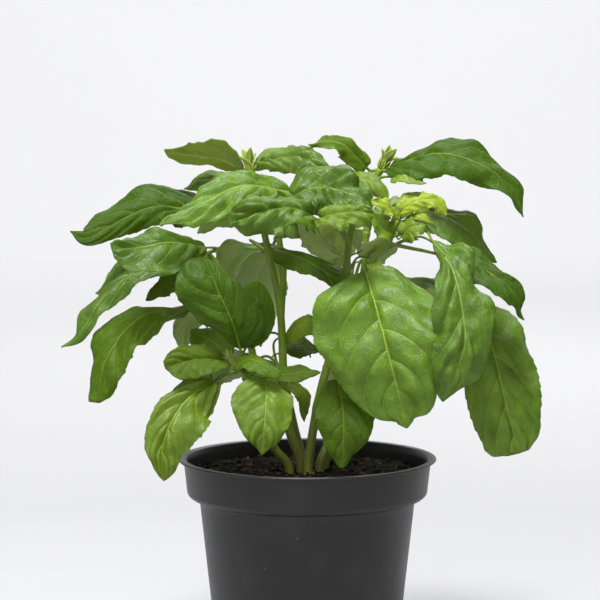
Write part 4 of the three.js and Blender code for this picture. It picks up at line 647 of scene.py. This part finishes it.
def blade(surface, leaf, detail):
    """A leaf blade. Each row crosses the midrib at a right angle, with a half on each side of it. The blade
    is lifted by puckers(), and the midrib and side veins are sunk above and raised below."""
    line = smooth_line(leaf.rib, LINE)
    length = run_length(line)
    rows = int(np.clip(detail * length / BLADE_CELL, 10, 110)) + 1
    cells = int(np.clip(detail * max(leaf.halves) / BLADE_CELL, 5, 40))
    size = min(1.0, length / FULL_GROWN)
    seed = sum(ord(letter) for letter in leaf.name)
    u = np.linspace(0, 1, rows)
    centre = spread(line, np.linspace(0, 1, LINE + 1), u)
    along = unit(np.gradient(centre, axis=0))
    hint = spread(np.array(leaf.faces, float), np.linspace(0, 1, len(leaf.faces)), u)
    up = unit(hint - (hint * along).sum(1, keepdims=True) * along)
    lines = centre, np.cross(along, up), up

    sheets = []
    for side in (-1, 1):
        full, width = half_outline(leaf, u, length, size, seed, side)
        v, grid = half_sheet(leaf, u, cells, lines, full, width, seed, side)
        sheets.append((grid, v, v * width[:, None], vein_place(u[:, None], v, side), full[:, None] + 0 * v))
    grid, v, aside, place, full = (np.concatenate([a[:, :0:-1], b], 1) for a, b in zip(*sheets))
    places = grid.shape[1]
    side = np.sign(np.arange(places) - cells)[None, :] * np.ones((rows, 1))

    lift = puckers(leaf, u, v, side, full, aside, place, length, size, seed)
    thin = np.clip(1.3 - u, 0.3, 1)[:, None]
    fading = np.clip(1.1 - v, 0, 1) * np.minimum(1, aside / 1.5)
    gap = np.abs(place - np.round(place)) * VEIN_STEP * length
    rib_dip = np.exp(-(aside / (RIB_GROOVE[0] * size + RIB_GROOVE[1])) ** 2) * thin
    vein_dip = np.exp(-(gap / (VEIN_GROOVE[0] * size + VEIN_GROOVE[1])) ** 2) * fading
    normal = unit(np.cross(np.gradient(grid, axis=1), np.gradient(grid, axis=0)))
    top, low = (
        grid + normal * (lift - rib * size * rib_dip - vein * size * vein_dip + half)[..., None]
        for rib, vein, half in zip(RIB_GROOVE[2:], VEIN_GROOVE[2:], (BLADE_THICK / 2, -BLADE_THICK / 2)))

    count = rows * places
    i, j = np.arange(rows), np.arange(places)
    right, left = i[:-1] * places + places - 1, i[:0:-1] * places
    margin = np.concatenate([j[:-1], right, count - places + j[:0:-1], left])
    after = np.roll(margin, -1)
    rim = np.stack([margin, margin + count, after + count, after], 1)
    upper = sheet_faces(rows, places)
    lower = sheet_faces(rows, places, flip=True) + count
    surface.add(
        np.vstack([top.reshape(-1, 3), low.reshape(-1, 3)]),
        np.vstack([upper, lower, rim]),
        blade_u=np.tile(np.repeat(u, places), 2),
        blade_v=np.tile((v * side).ravel(), 2),
        aside=np.tile((aside * side).ravel(), 2),
        along=np.tile(np.repeat(u * length, places), 2),
        underside=np.repeat([0.0, 1.0], count),
        youth=leaf.youth,
        tone=leaf.tone,
        size=size,
    )


def tube(surface, points, radii, sides, steps, squareness=0.0, swellings=(), **values):
    """A closed tube: rings of a rounded square carried along a smooth line with the least turning."""
    centre = smooth_line(points, steps)
    along = unit(np.gradient(centre, axis=0))
    side = np.array([0.0, 1, 0]) if abs(along[0][1]) < 0.8 else np.array([1.0, 0, 0])
    frames = []
    for direction in along:
        side = across_to(side, direction)
        frames.append(side)
    side = np.array(frames)
    other = np.cross(along, side)
    t = np.linspace(0, 1, steps + 1)
    radius = radii[0] + (radii[1] - radii[0]) * t
    length = run_length(centre)
    for where, growth in swellings:
        radius = radius + growth * np.exp(-(((t - where) * length) / KNOT_LENGTH) ** 2)
    a = around(sides)
    r = radius[:, None] * (1 + squareness * np.cos(4 * a))[None, :]
    ring = (r * np.cos(a))[..., None] * side[:, None] + (r * np.sin(a))[..., None] * other[:, None]
    grid = (centre[:, None] + ring).reshape(-1, 3)
    faces = np.vstack([
        ring_faces(steps + 1, sides),
        cap_faces(0, sides, flip=True),
        cap_faces(steps * sides, sides),
    ])
    surface.add(grid, faces, height=np.repeat(t, sides), turn=np.tile(a, steps + 1), **values)


def bud(blades, shoot_line, length):
    """The bud at a shoot's tip: an outer and an inner ring of narrow young leaves, the inner more upright."""
    tip = shoot_line[-1]
    up = unit(shoot_line[-1] - shoot_line[-4])
    side = across_to(np.array([0, -1, 0.2]), up)
    other = np.cross(up, side)
    for k in range(BUD_LEAVES):
        inner = k // 4
        turn = math.radians(90 * k + 35 + 25 * inner)
        lean = BUD_LEANS[k % 2] * BUD_INNER_LEAN ** inner
        reach = length * BUD_REACHES[k % 2] * BUD_INNER_REACH ** inner
        outward = side * math.cos(turn) + other * math.sin(turn)
        rib = [
            tip - 0.8 * up,
            tip + 0.5 * reach * up + 0.25 * lean * reach * outward,
            tip + reach * up + 0.75 * lean * reach * outward,
        ]
        faces = [0.4 * up - outward] * 2
        halves = [0.26 * reach] * 2
        blade(blades, Leaf("bud", "", 1, rib, faces, halves, (35, 5), (0.5, 0.8), 0.1, 0.7, BUD_TONE), 0.9)


def leaf_material(name, gloss):
    """Fresh basil leaf, as it grew: a soft, semi-gloss blade. The upper face is a clear mid green with
    lighter veins, the lower face paler and duller, young leaves yellow-green. Light from behind comes through
    warmer. The deep green of the deep toned leaves is partly their own and partly painted shade, and they
    have less gloss than the others."""
    material, put = new_material(name)
    names = ("blade_u", "blade_v", "aside", "along", "underside", "youth", "tone", "size")
    u, v, aside, along, underside, youth, tone, size = (
        put("VALUE", attribute_name=name).outputs["Fac"] for name in names)

    # Side veins: the same field as in vein_place, drawn where it is a whole number
    out = put("ABSOLUTE", v)
    half = put("SIGN", v)
    curve = put("POWER", out, VEIN_CURVE)
    place = put("MULTIPLY_ADD", curve, -VEIN_SWEEP, u)
    place = put("MULTIPLY_ADD", half, VEIN_OFFSET, place)
    place = put("DIVIDE", place, VEIN_STEP)
    gap = put("PINGPONG", place, 0.5)
    vein = put("SMOOTH_RANGE", gap, 0.0, 0.05, 1.0, 0.0)
    fade = put("SMOOTH_RANGE", out, 0.55, 1.0, 1.0, 0.0)
    side_vein = put("MULTIPLY", vein, fade)

    # Midrib: as wide as the leaf is large, thinner toward the tip
    near = put("ABSOLUTE", aside)
    scale = put("ADD", size, 0.2)
    near = put("DIVIDE", near, scale)
    rib = put("SMOOTH_RANGE", near, 0.15, 0.7, 1.0, 0.0)
    fade = put("SMOOTH_RANGE", u, 0.5, 1.02, 1.0, 0.0)
    midrib = put("MULTIPLY", rib, fade)

    # Patterns on the blade laid flat, in cells per millimetre
    flat = put("JOIN", along, aside, tone)
    net = put("CELL_EDGES", flat, 0.42, 0.9)
    net = put("SMOOTH_RANGE", net, 0.0, 0.09, 1.0, 0.0)
    mottle, wrinkle, fine = (
        put("NOISE", flat, scale, detail)
        for scale, detail in ((0.11, 3.0), (0.38, 2.0), (2.4, 2.0)))
    patch = put("SMOOTH_RANGE", mottle, 0.3, 0.75)

    # Upper face: mottled green, then tone, youth, net, side veins and midrib laid over it by their shares
    net_share = put("MULTIPLY", net, 0.2)
    vein_share = put("MULTIPLY_ADD", youth, 0.35, 0.26)
    vein_share = put("MULTIPLY", side_vein, vein_share)
    rib_share = put("MULTIPLY_ADD", tone, -0.3, 0.5)
    rib_share = put("MULTIPLY", midrib, rib_share)
    # The tone's deep green, #234406, is partly the leaf's own colour and partly painted shade
    face = "#3f620e"
    for share, shade in ((patch, "#638823"), (tone, "#234406"), (youth, "#a1b32a"), (net_share, "#839c34"),
                         (vein_share, "#a6b848"), (rib_share, "#a8bc52")):
        face = put("MIX", share, face, shade)

    # Lower face: paler, then youth, tone, net and all veins laid over it
    # Tone darkens the lower face too, with #55761c, partly as painted shade
    tone_share = put("MULTIPLY", tone, 0.8)
    net_share = put("MULTIPLY", net, 0.3)
    vein_share = put("MAXIMUM", side_vein, midrib)
    back = "#b4cc92"
    for share, shade in ((youth, "#bcd058"), (tone_share, "#55761c"), (net_share, "#9db878"),
                         (vein_share, "#c0cb80")):
        back = put("MIX", share, back, shade)
    colour = put("MIX", underside, face, back)

    # Relief: veins are grooves above and ridges below, with wrinkles and a fine grain over all
    veins = put("MULTIPLY", side_vein, 0.8)
    veins = put("MAXIMUM", veins, midrib)
    relief = put("MULTIPLY_ADD", net, 0.3, veins)
    sign = put("MULTIPLY_ADD", underside, 2.0, -1.0)
    height = put("MULTIPLY", relief, sign)
    height = put("MULTIPLY_ADD", fine, 0.35, height)
    height = put("MULTIPLY_ADD", wrinkle, 0.7, height)
    bump = put("BUMP", height, 0.75, 0.0004)

    # Finish: semi-gloss above, duller below, and warm light let through, more of it from the pale underside
    rough = put("MULTIPLY_ADD", fine, 0.16, 0.34)
    rough = put("MULTIPLY_ADD", underside, 0.18, rough)
    shader = put("PRINCIPLED", {
        "Base Color": colour, "Roughness": rough, "Normal": bump, "IOR": 1.45, "Specular IOR Level": gloss,
    })
    share = put("MAXIMUM", youth, underside)
    through = put("MIX", share, "#b4c044", "#d4e07c")
    passing = put("TRANSLUCENT", through, bump)
    share = put("MULTIPLY_ADD", underside, 0.14, 0.28)
    put("OUTPUT", put("MIX_SHADERS", share, shader, passing))
    return material


def stem_material():
    """Fresh basil stem: square, smooth and waxy green, browner at the foot, with fine lengthwise ribs."""
    material, put = new_material("fresh_basil_stem")
    height, turn, woody = (
        put("VALUE", attribute_name=name).outputs["Fac"] for name in ("height", "turn", "woody"))
    place = put("PLACE").outputs["Object"]
    patches = put("NOISE", place, 160.0, 3.0)
    ribs = put("MULTIPLY", turn, 14.0)
    ribs = put("SINE", ribs)
    foot = put("RANGE", height, 0.45, 0.1)
    foot = put("MULTIPLY", foot, woody)
    green = put("MIX", patches, "#4b6716", "#788e28")
    colour = put("MIX", foot, green, "#77753a")
    bump = put("BUMP", ribs, 0.35, 0.00015)
    shader = put("PRINCIPLED", {
        "Base Color": colour, "Roughness": 0.46, "Normal": bump, "IOR": 1.45, "Specular IOR Level": 0.3,
        "Subsurface Weight": 0.12, "Subsurface Radius": (0.4, 0.6, 0.2), "Subsurface Scale": 0.001,
    })
    put("OUTPUT", shader)
    return material


def pot_material():
    """Injection-moulded polypropylene, charcoal: satin, with faint flow marks, dried water spots and dust."""
    material, put = new_material("moulded_polypropylene_pot")
    place = put("PLACE").outputs["Object"]
    cloud = put("NOISE", place, 45.0, 4.0)
    stretched = put("STRETCH", place, (1.0, 1.0, 0.12))
    flow = put("NOISE", stretched, 260.0, 2.0)
    grain = put("NOISE", place, 2600.0, 2.0)
    spots = put("CELLS", place, 190.0)
    spot = put("RANGE", spots, 0.16, 0.08)
    chosen = put("SPLIT", spots.outputs["Color"])
    chosen = put("GREATER_THAN", chosen, 0.9)
    dust = put("MULTIPLY", spot, chosen)
    dust = put("MULTIPLY", dust, 0.9)
    veil = put("RANGE", cloud, 0.5, 0.8, 0.0, 0.2)
    dust = put("MAXIMUM", dust, veil)
    colour = put("MIX", dust, "#0b0b0c", "#404040")
    rough = put("RANGE", cloud, 0.0, 1.0, 0.34, 0.5)
    relief = put("ADD", flow, grain)
    bump = put("BUMP", relief, 0.22, 0.00012)
    shader = put("PRINCIPLED", {
        "Base Color": colour, "Roughness": rough, "Normal": bump, "IOR": 1.49, "Specular IOR Level": 0.45,
    })
    put("OUTPUT", shader)
    return material


def soil_material():
    """Moist peat potting soil: near black crumbs, brown fibres and a few ochre bits, quite matt."""
    material, put = new_material("moist_peat_soil")
    place = put("PLACE").outputs["Object"]
    bit = put("VALUE", attribute_name="bit").outputs["Fac"]
    clumps = put("NOISE", place, 260.0, 5.0)
    grains = put("CELLS", place, 620.0)
    pick = put("SPLIT", grains.outputs["Color"])
    ochre = put("GREATER_THAN", pick, 0.93)
    colour = "#080604"
    for share, shade in ((clumps, "#19130d"), (ochre, "#4a3d24"), (bit, "#5c4c2c")):
        colour = put("MIX", share, colour, shade)
    bump = put("BUMP", clumps, 0.9, 0.0012)
    shader = put("PRINCIPLED", {
        "Base Color": colour, "Roughness": 0.92, "Normal": bump, "IOR": 1.4, "Specular IOR Level": 0.18,
    })
    put("OUTPUT", shader)
    return material


def floor_material():
    """Matt white studio paper, faintly cool: it sends light back evenly and shows no grain. It is a little
    darker near the plant, so that the soft box above does not burn it out."""
    material, put = new_material("studio_paper")
    place = put("PLACE").outputs["Object"]
    far = put("LENGTH", place)
    share = put("RANGE", far, 0.5, 2.6)
    colour = put("MIX", share, "#acacae", "#e8e8ea")
    shader = put("PRINCIPLED", {
        "Base Color": colour, "Roughness": 0.95, "Specular IOR Level": 0.1,
    })
    put("OUTPUT", shader)
    return material


def arc(centre_r, centre_z, radius, start, end, steps):
    """Points of an arc in the profile plane, from one angle to another in degrees."""
    a = np.radians(np.linspace(start, end, steps + 1))
    return np.stack([centre_r + radius * np.cos(a), centre_z + radius * np.sin(a)], 1)


def refine(profile, longest):
    """The profile with its straight runs cut into steps no longer than the given one."""
    out = [profile[:1]]
    for a, b in zip(profile[:-1], profile[1:]):
        count = max(1, int(np.ceil(np.linalg.norm(b - a) / longest)))
        out.append(a + (b - a) * (np.arange(1, count + 1) / count)[:, None])
    return np.vstack(out)


def lathe(surface, profile):
    """The profile's points (radius and height) turned round the axis, outward where it runs up the outside.
    The wall wanders by a few hundredths of a millimetre, as thin moulded plastic does."""
    profile = refine(np.array(profile, float), POT_CELL)
    a = around(POT_SIDES)
    wander = sum(depth * np.sin(waves * a + start) for depth, waves, start in WALL_WANDER)
    loose = np.clip((profile[:, 1:] - BASE_RAISED - 2 * WALL) / POT_HEIGHT, 0, 1)
    grid = turned(profile[:, :1] + wander * loose, profile[:, 1], a)
    surface.add(grid.reshape(-1, 3), ring_faces(len(profile), POT_SIDES))
    return len(profile)


def drained_sector(surface, first, inner, outer):
    """An eighth of the raised base with its drain hole: rings that pass evenly from the hole's circle to the
    sector's outline, below and above, and the hole's own wall."""
    steps, rings = 6, 5
    arms = POT_SIDES // DRAIN_HOLES
    turn = first + np.arange(arms + 1) * (FULL_TURN / POT_SIDES)
    radii = np.linspace(inner, outer, steps + 1)
    polar = np.vstack([
        np.stack([np.full(arms, inner), turn[:-1]], 1),
        np.stack([radii[:-1], np.full(steps, turn[-1])], 1),
        np.stack([np.full(arms, outer), turn[:0:-1]], 1),
        np.stack([radii[:0:-1], np.full(steps, turn[0])], 1),
    ])
    edge = np.stack([polar[:, 0] * np.cos(polar[:, 1]), polar[:, 0] * np.sin(polar[:, 1])], 1)
    middle = DRAIN_CIRCLE * np.array([math.cos(turn[arms // 2]), math.sin(turn[arms // 2])])
    hole = middle + DRAIN_RADIUS * unit(edge - middle)
    grown = hole + (edge - hole) * np.linspace(0, 1, rings)[:, None, None]
    sides = len(edge)
    levels = (BASE_RAISED, BASE_RAISED + WALL)
    faces = ring_faces(rings, sides)
    for level, sheet in zip(levels, (faces, faces[:, ::-1])):
        points = np.concatenate([grown, np.full((rings, sides, 1), level)], 2)
        surface.add(points.reshape(-1, 3), sheet)
    wall = np.vstack([np.column_stack([hole, np.full(sides, level)]) for level in levels])
    surface.add(wall, ring_faces(2, sides))


def make_pot(material):
    """The pot: its wall's section turned round the axis in three runs, joined by a base with drain holes."""
    inner, outer = (DRAIN_CIRCLE + way * DRAIN_MARGIN * DRAIN_RADIUS for way in (-1, 1))
    top_of_base = BASE_RAISED + WALL
    below = [(POT_AXIS_GAP, 0)] + [(BASE_DISC_RADIUS + r, z) for r, z in BASE_SLOPE] + [(inner, BASE_RAISED)]
    above = [(inner, top_of_base), (BASE_DISC_RADIUS + 1, top_of_base), (BASE_DISC_RADIUS - WALL, WALL),
             (POT_AXIS_GAP, WALL)]
    lip = LIP_THICK / 2
    shelf = arc(0, 0, 1, -85, 0, 14) * [COLLAR_FOOT_RADIUS - BODY_TOP_RADIUS, COLLAR_ROUND]
    wall = np.vstack([
        # Under the base ring, and up the outside of the body
        [(outer, BASE_RAISED)] + [(BASE_RING_RADIUS - r, z) for r, z in reversed(BASE_SLOPE)],
        arc(FOOT_RADIUS - FOOT_ROUND, FOOT_ROUND, FOOT_ROUND, -90, 0, 6),
        [(BODY_TOP_RADIUS - 0.05, COLLAR_FOOT - 0.5), (BODY_TOP_RADIUS + 0.15, COLLAR_FOOT - 0.1)],
        # The collar's rounded shelf and its side
        shelf + [BODY_TOP_RADIUS, COLLAR_FOOT + COLLAR_ROUND],
        [(COLLAR_TOP_RADIUS - 0.05, POT_HEIGHT - 2.4 * LIP_THICK)],
        # The lip, with a fillet under it
        arc(COLLAR_TOP_RADIUS + LIP_FILLET, POT_HEIGHT - LIP_THICK - LIP_FILLET, LIP_FILLET, 180, 95, 5),
        arc(LIP_RADIUS - lip, POT_HEIGHT - lip, lip, -80, 80, 6),
        # Down the inside to the base
        [(COLLAR_TOP_RADIUS, POT_HEIGHT), (COLLAR_TOP_RADIUS - 0.7, POT_HEIGHT - 0.15)],
        [(COLLAR_TOP_RADIUS - WALL, POT_HEIGHT - 0.8)],
        arc(COLLAR_FOOT_RADIUS - COLLAR_ROUND, COLLAR_FOOT + COLLAR_ROUND, COLLAR_ROUND - WALL, 0, -90, 6),
        [(BODY_TOP_RADIUS - WALL, COLLAR_FOOT + WALL), (FOOT_RADIUS - WALL, WALL + 1)],
        [(FOOT_RADIUS - WALL - 1, WALL), (BASE_RING_RADIUS + WALL, WALL)],
        [(BASE_RING_RADIUS - 1, top_of_base), (outer, top_of_base)],
    ])
    surface = Surface()
    lathe(surface, below)
    surface.faces.append(cap_faces(0, POT_SIDES, flip=True))
    lathe(surface, wall)
    start = surface.count
    rings = lathe(surface, above)
    surface.faces.append(cap_faces(start + (rings - 1) * POT_SIDES, POT_SIDES))
    for k in range(DRAIN_HOLES):
        drained_sector(surface, FULL_TURN * k / DRAIN_HOLES, inner, outer)
    surface.weld()
    surface.make("nursery_pot", [material], "pot", "pot")


def add_crumbs(surface, height):
    """Loose crumbs and bark bits: lumpy balls, stretched, turned and tilted at random, set into the soil's
    top, whose heights are given by rings from the middle outward."""
    draw = np.random.default_rng(SOIL_DRAW)
    polar = np.linspace(CRUMB_OPENING, math.pi - CRUMB_OPENING, CRUMB_ROWS)
    ball = turned(np.sin(polar), np.cos(polar), around(CRUMB_SIDES)).reshape(-1, 3)
    faces = np.vstack([
        ring_faces(CRUMB_ROWS, CRUMB_SIDES)[:, ::-1],
        cap_faces(0, CRUMB_SIDES),
        cap_faces((CRUMB_ROWS - 1) * CRUMB_SIDES, CRUMB_SIDES, flip=True),
    ])
    for k in range(SOIL_GRAINS):
        far = SOIL_RADIUS * 0.97 * math.sqrt(draw.random())
        angle = FULL_TURN * draw.random()
        size = draw.uniform(0.5, 1.5)
        stretch = np.array([draw.uniform(0.9, 2.4), draw.uniform(0.6, 1.0), draw.uniform(0.5, 0.9)])
        turn = FULL_TURN * draw.random()
        lumps = ball * (1 + CRUMB_LUMPS * noise(ball * 1.7 + 5 * k, k))[:, None] * stretch * size
        c, s = math.cos(turn), math.sin(turn)
        spin = np.array([[c, -s, 0], [s, c, 0], [0, 0, 1]])
        tilt = draw.uniform(-0.5, 0.5)
        c, s = math.cos(tilt), math.sin(tilt)
        lean = np.array([[c, 0, s], [0, 1, 0], [-s, 0, c]])
        i = int(round(far / SOIL_RADIUS * (SOIL_RINGS - 1)))
        j = int(round(angle / FULL_TURN * SOIL_SIDES)) % SOIL_SIDES
        place = np.array([far * math.cos(angle), far * math.sin(angle), height[i, j] + 0.2 * size])
        shade = draw.choice(CRUMB_SHADES, p=CRUMB_ODDS)
        surface.add(lumps @ lean.T @ spin.T + place, faces, bit=shade)


def make_soil(material):
    """The soil: rings whose height is four sizes of noise, drawn up a little round each stem, on a plug that
    follows the pot's inner wall to its base, and loose crumbs and bark bits set into the top."""
    radius = SOIL_RADIUS * np.linspace(0.004, 1, SOIL_RINGS)[:, None]
    a = around(SOIL_SIDES)
    x, y = radius * np.cos(a), radius * np.sin(a)
    flat = np.stack([x.ravel(), y.ravel(), np.zeros(x.size)], 1)
    relief = sum(depth * noise(flat / grain, layer) for depth, grain, layer in SOIL_RELIEF)
    height = SOIL_TOP + relief.reshape(x.shape)
    for shoot in SHOOTS:
        foot = shoot[2][0]
        if foot[2] < SOIL_TOP:
            far = np.hypot(x - foot[0], y - foot[1])
            height = height + SOIL_HEAP * np.exp(-((far - 2.6) / 2.5) ** 2)
    height = height - SOIL_EDGE_DROP * np.clip((radius / SOIL_RADIUS - 0.93) / 0.07, 0, 1)
    top = np.stack([x, y, height], -1).reshape(-1, 3)
    plug = refine(np.array(SOIL_PLUG), POT_CELL)
    under = turned(plug[:, 0], plug[:, 1], a).reshape(-1, 3)
    rings = SOIL_RINGS + len(plug)
    faces = np.vstack([
        ring_faces(rings, SOIL_SIDES),
        cap_faces(0, SOIL_SIDES, flip=True),
        cap_faces((rings - 1) * SOIL_SIDES, SOIL_SIDES),
    ])
    surface = Surface()
    surface.add(np.vstack([top, under]), faces[:, ::-1], bit=0.0)
    add_crumbs(surface, height)
    surface.make("potting_soil", [material], "soil", "soil")


def petiole(woods, line, leaf):
    """The stalk from a shoot's line to a blade: it swings into the midrib's way and runs out under it."""
    middle = smooth_line(leaf.rib, 100)
    start = line[int(round(leaf.share * LINE))]
    away = unit(middle[2] - middle[0])
    bend = middle[0] - PETIOLE_SWING * np.linalg.norm(middle[0] - start) * away
    up = across_to(np.array(leaf.faces[0], float), away)
    under = [middle[0] - 0.5 * up, middle[PETIOLE_SINK] - 0.75 * up, middle[PETIOLE_RUN] - 0.45 * up]
    size = min(1.0, np.linalg.norm(middle[-1] - middle[0]) / 40 + 0.35)
    radii = [PETIOLE_RADIUS * size, PETIOLE_TIP_RADIUS * size]
    tube(woods, [start, bend] + under, radii, PETIOLE_SIDES, PETIOLE_STEPS, woody=0.0)


def make_stem(stem, leaf_finishes, stem_finish):
    """A leafy stem: its shoots and petioles in one mesh, its blades and buds in another."""
    woods, blades = Surface(), Surface()
    for name, owner, points, radii, bud_length in SHOOTS:
        if owner != stem:
            continue
        line = smooth_line(points, LINE)
        own = [leaf for leaf in map(Leaf._make, LEAVES) if leaf.shoot == name]
        knots = [(leaf.share, KNOT_SWELLING) for leaf in own]
        steps = int(run_length(line) / STEM_CELL)
        from_soil = 1.0 if points[0][2] < SOIL_TOP else 0.0
        tube(woods, points, radii, STEM_SIDES, steps, STEM_SQUARENESS, knots, woody=from_soil)
        if bud_length > 0:
            bud(blades, line, bud_length)
        for leaf in own:
            blade(blades, leaf, 1 + leaf.youth)
            petiole(woods, line, leaf)
    woods.make("stalks_" + stem, [stem_finish], slot="leaf")
    blades.make("leaves_" + stem, leaf_finishes, stem, "leaf")


def make_floor():
    """A studio bowl: a round flat floor that curves up on every side, so that no view has a horizon."""
    flat = np.linspace(0.01, FLOOR_FLAT, 12)
    rising = np.linspace(0, math.pi / 2, 24)[1:]
    r = np.concatenate([flat, FLOOR_FLAT + FLOOR_RISE * np.sin(rising)])
    z = np.concatenate([0 * flat, FLOOR_RISE * (1 - np.cos(rising))])
    faces = np.vstack([ring_faces(len(r), FLOOR_SIDES), cap_faces(0, FLOOR_SIDES, flip=True)])
    surface = Surface()
    surface.add(turned(r, z, around(FLOOR_SIDES)).reshape(-1, 3) / MM, faces[:, ::-1])
    surface.make("studio_floor", [floor_material()])


def add_light(name, place, target, size, power):
    """A square soft box at place that faces target."""
    light = bpy.data.lights.new(name, "AREA")
    light.shape = "SQUARE"
    light.size = size
    light.energy = power
    made = bpy.data.objects.new(name, light)
    made.location = place
    direction = np.array(target, float) - np.array(place, float)
    flat = math.hypot(direction[0], direction[1])
    made.rotation_euler = (math.atan2(flat, -direction[2]), 0, math.atan2(-direction[0], direction[1]))
    bpy.context.scene.collection.objects.link(made)


def make_studio():
    """Soft light: a box above and one in front of the plant, one behind it that lights the leaves through, a
    wide one over the backdrop, a wide one over the room for the other views, and a faint even sky."""
    world = bpy.data.worlds.new("studio_air")
    world.use_nodes = True
    background = world.node_tree.nodes["Background"]
    background.inputs["Color"].default_value = (1.0, 1.0, 1.0, 1.0)
    background.inputs["Strength"].default_value = SKY_STRENGTH
    bpy.context.scene.world = world
    for box in SOFT_BOXES:
        add_light(*box)
    bpy.context.scene.view_settings.view_transform = "Standard"


def make_camera():
    """The photo's view: level with the top leaves, tipped down a little, at the length of a portrait lens."""
    camera = bpy.data.cameras.new("photo_camera")
    camera.lens = CAMERA_LENS
    camera.sensor_width = CAMERA_SENSOR
    made = bpy.data.objects.new("photo_camera", camera)
    made.location = CAMERA_PLACE
    made.rotation_euler = (math.pi / 2 - CAMERA_DIP, 0, 0)
    bpy.context.scene.collection.objects.link(made)
    bpy.context.scene.camera = made


make_camera()
make_studio()
make_floor()
make_pot(pot_material())
make_soil(soil_material())
# The second finish is for the deep toned leaves, whose deep green is partly painted shade
leaf_finishes = [leaf_material("fresh_basil_leaf", 0.45), leaf_material("deep_green_basil_leaf", 0.17)]
stem_finish = stem_material()
for stem_name in dict.fromkeys(shoot[1] for shoot in SHOOTS):
    make_stem(stem_name, leaf_finishes, stem_finish)
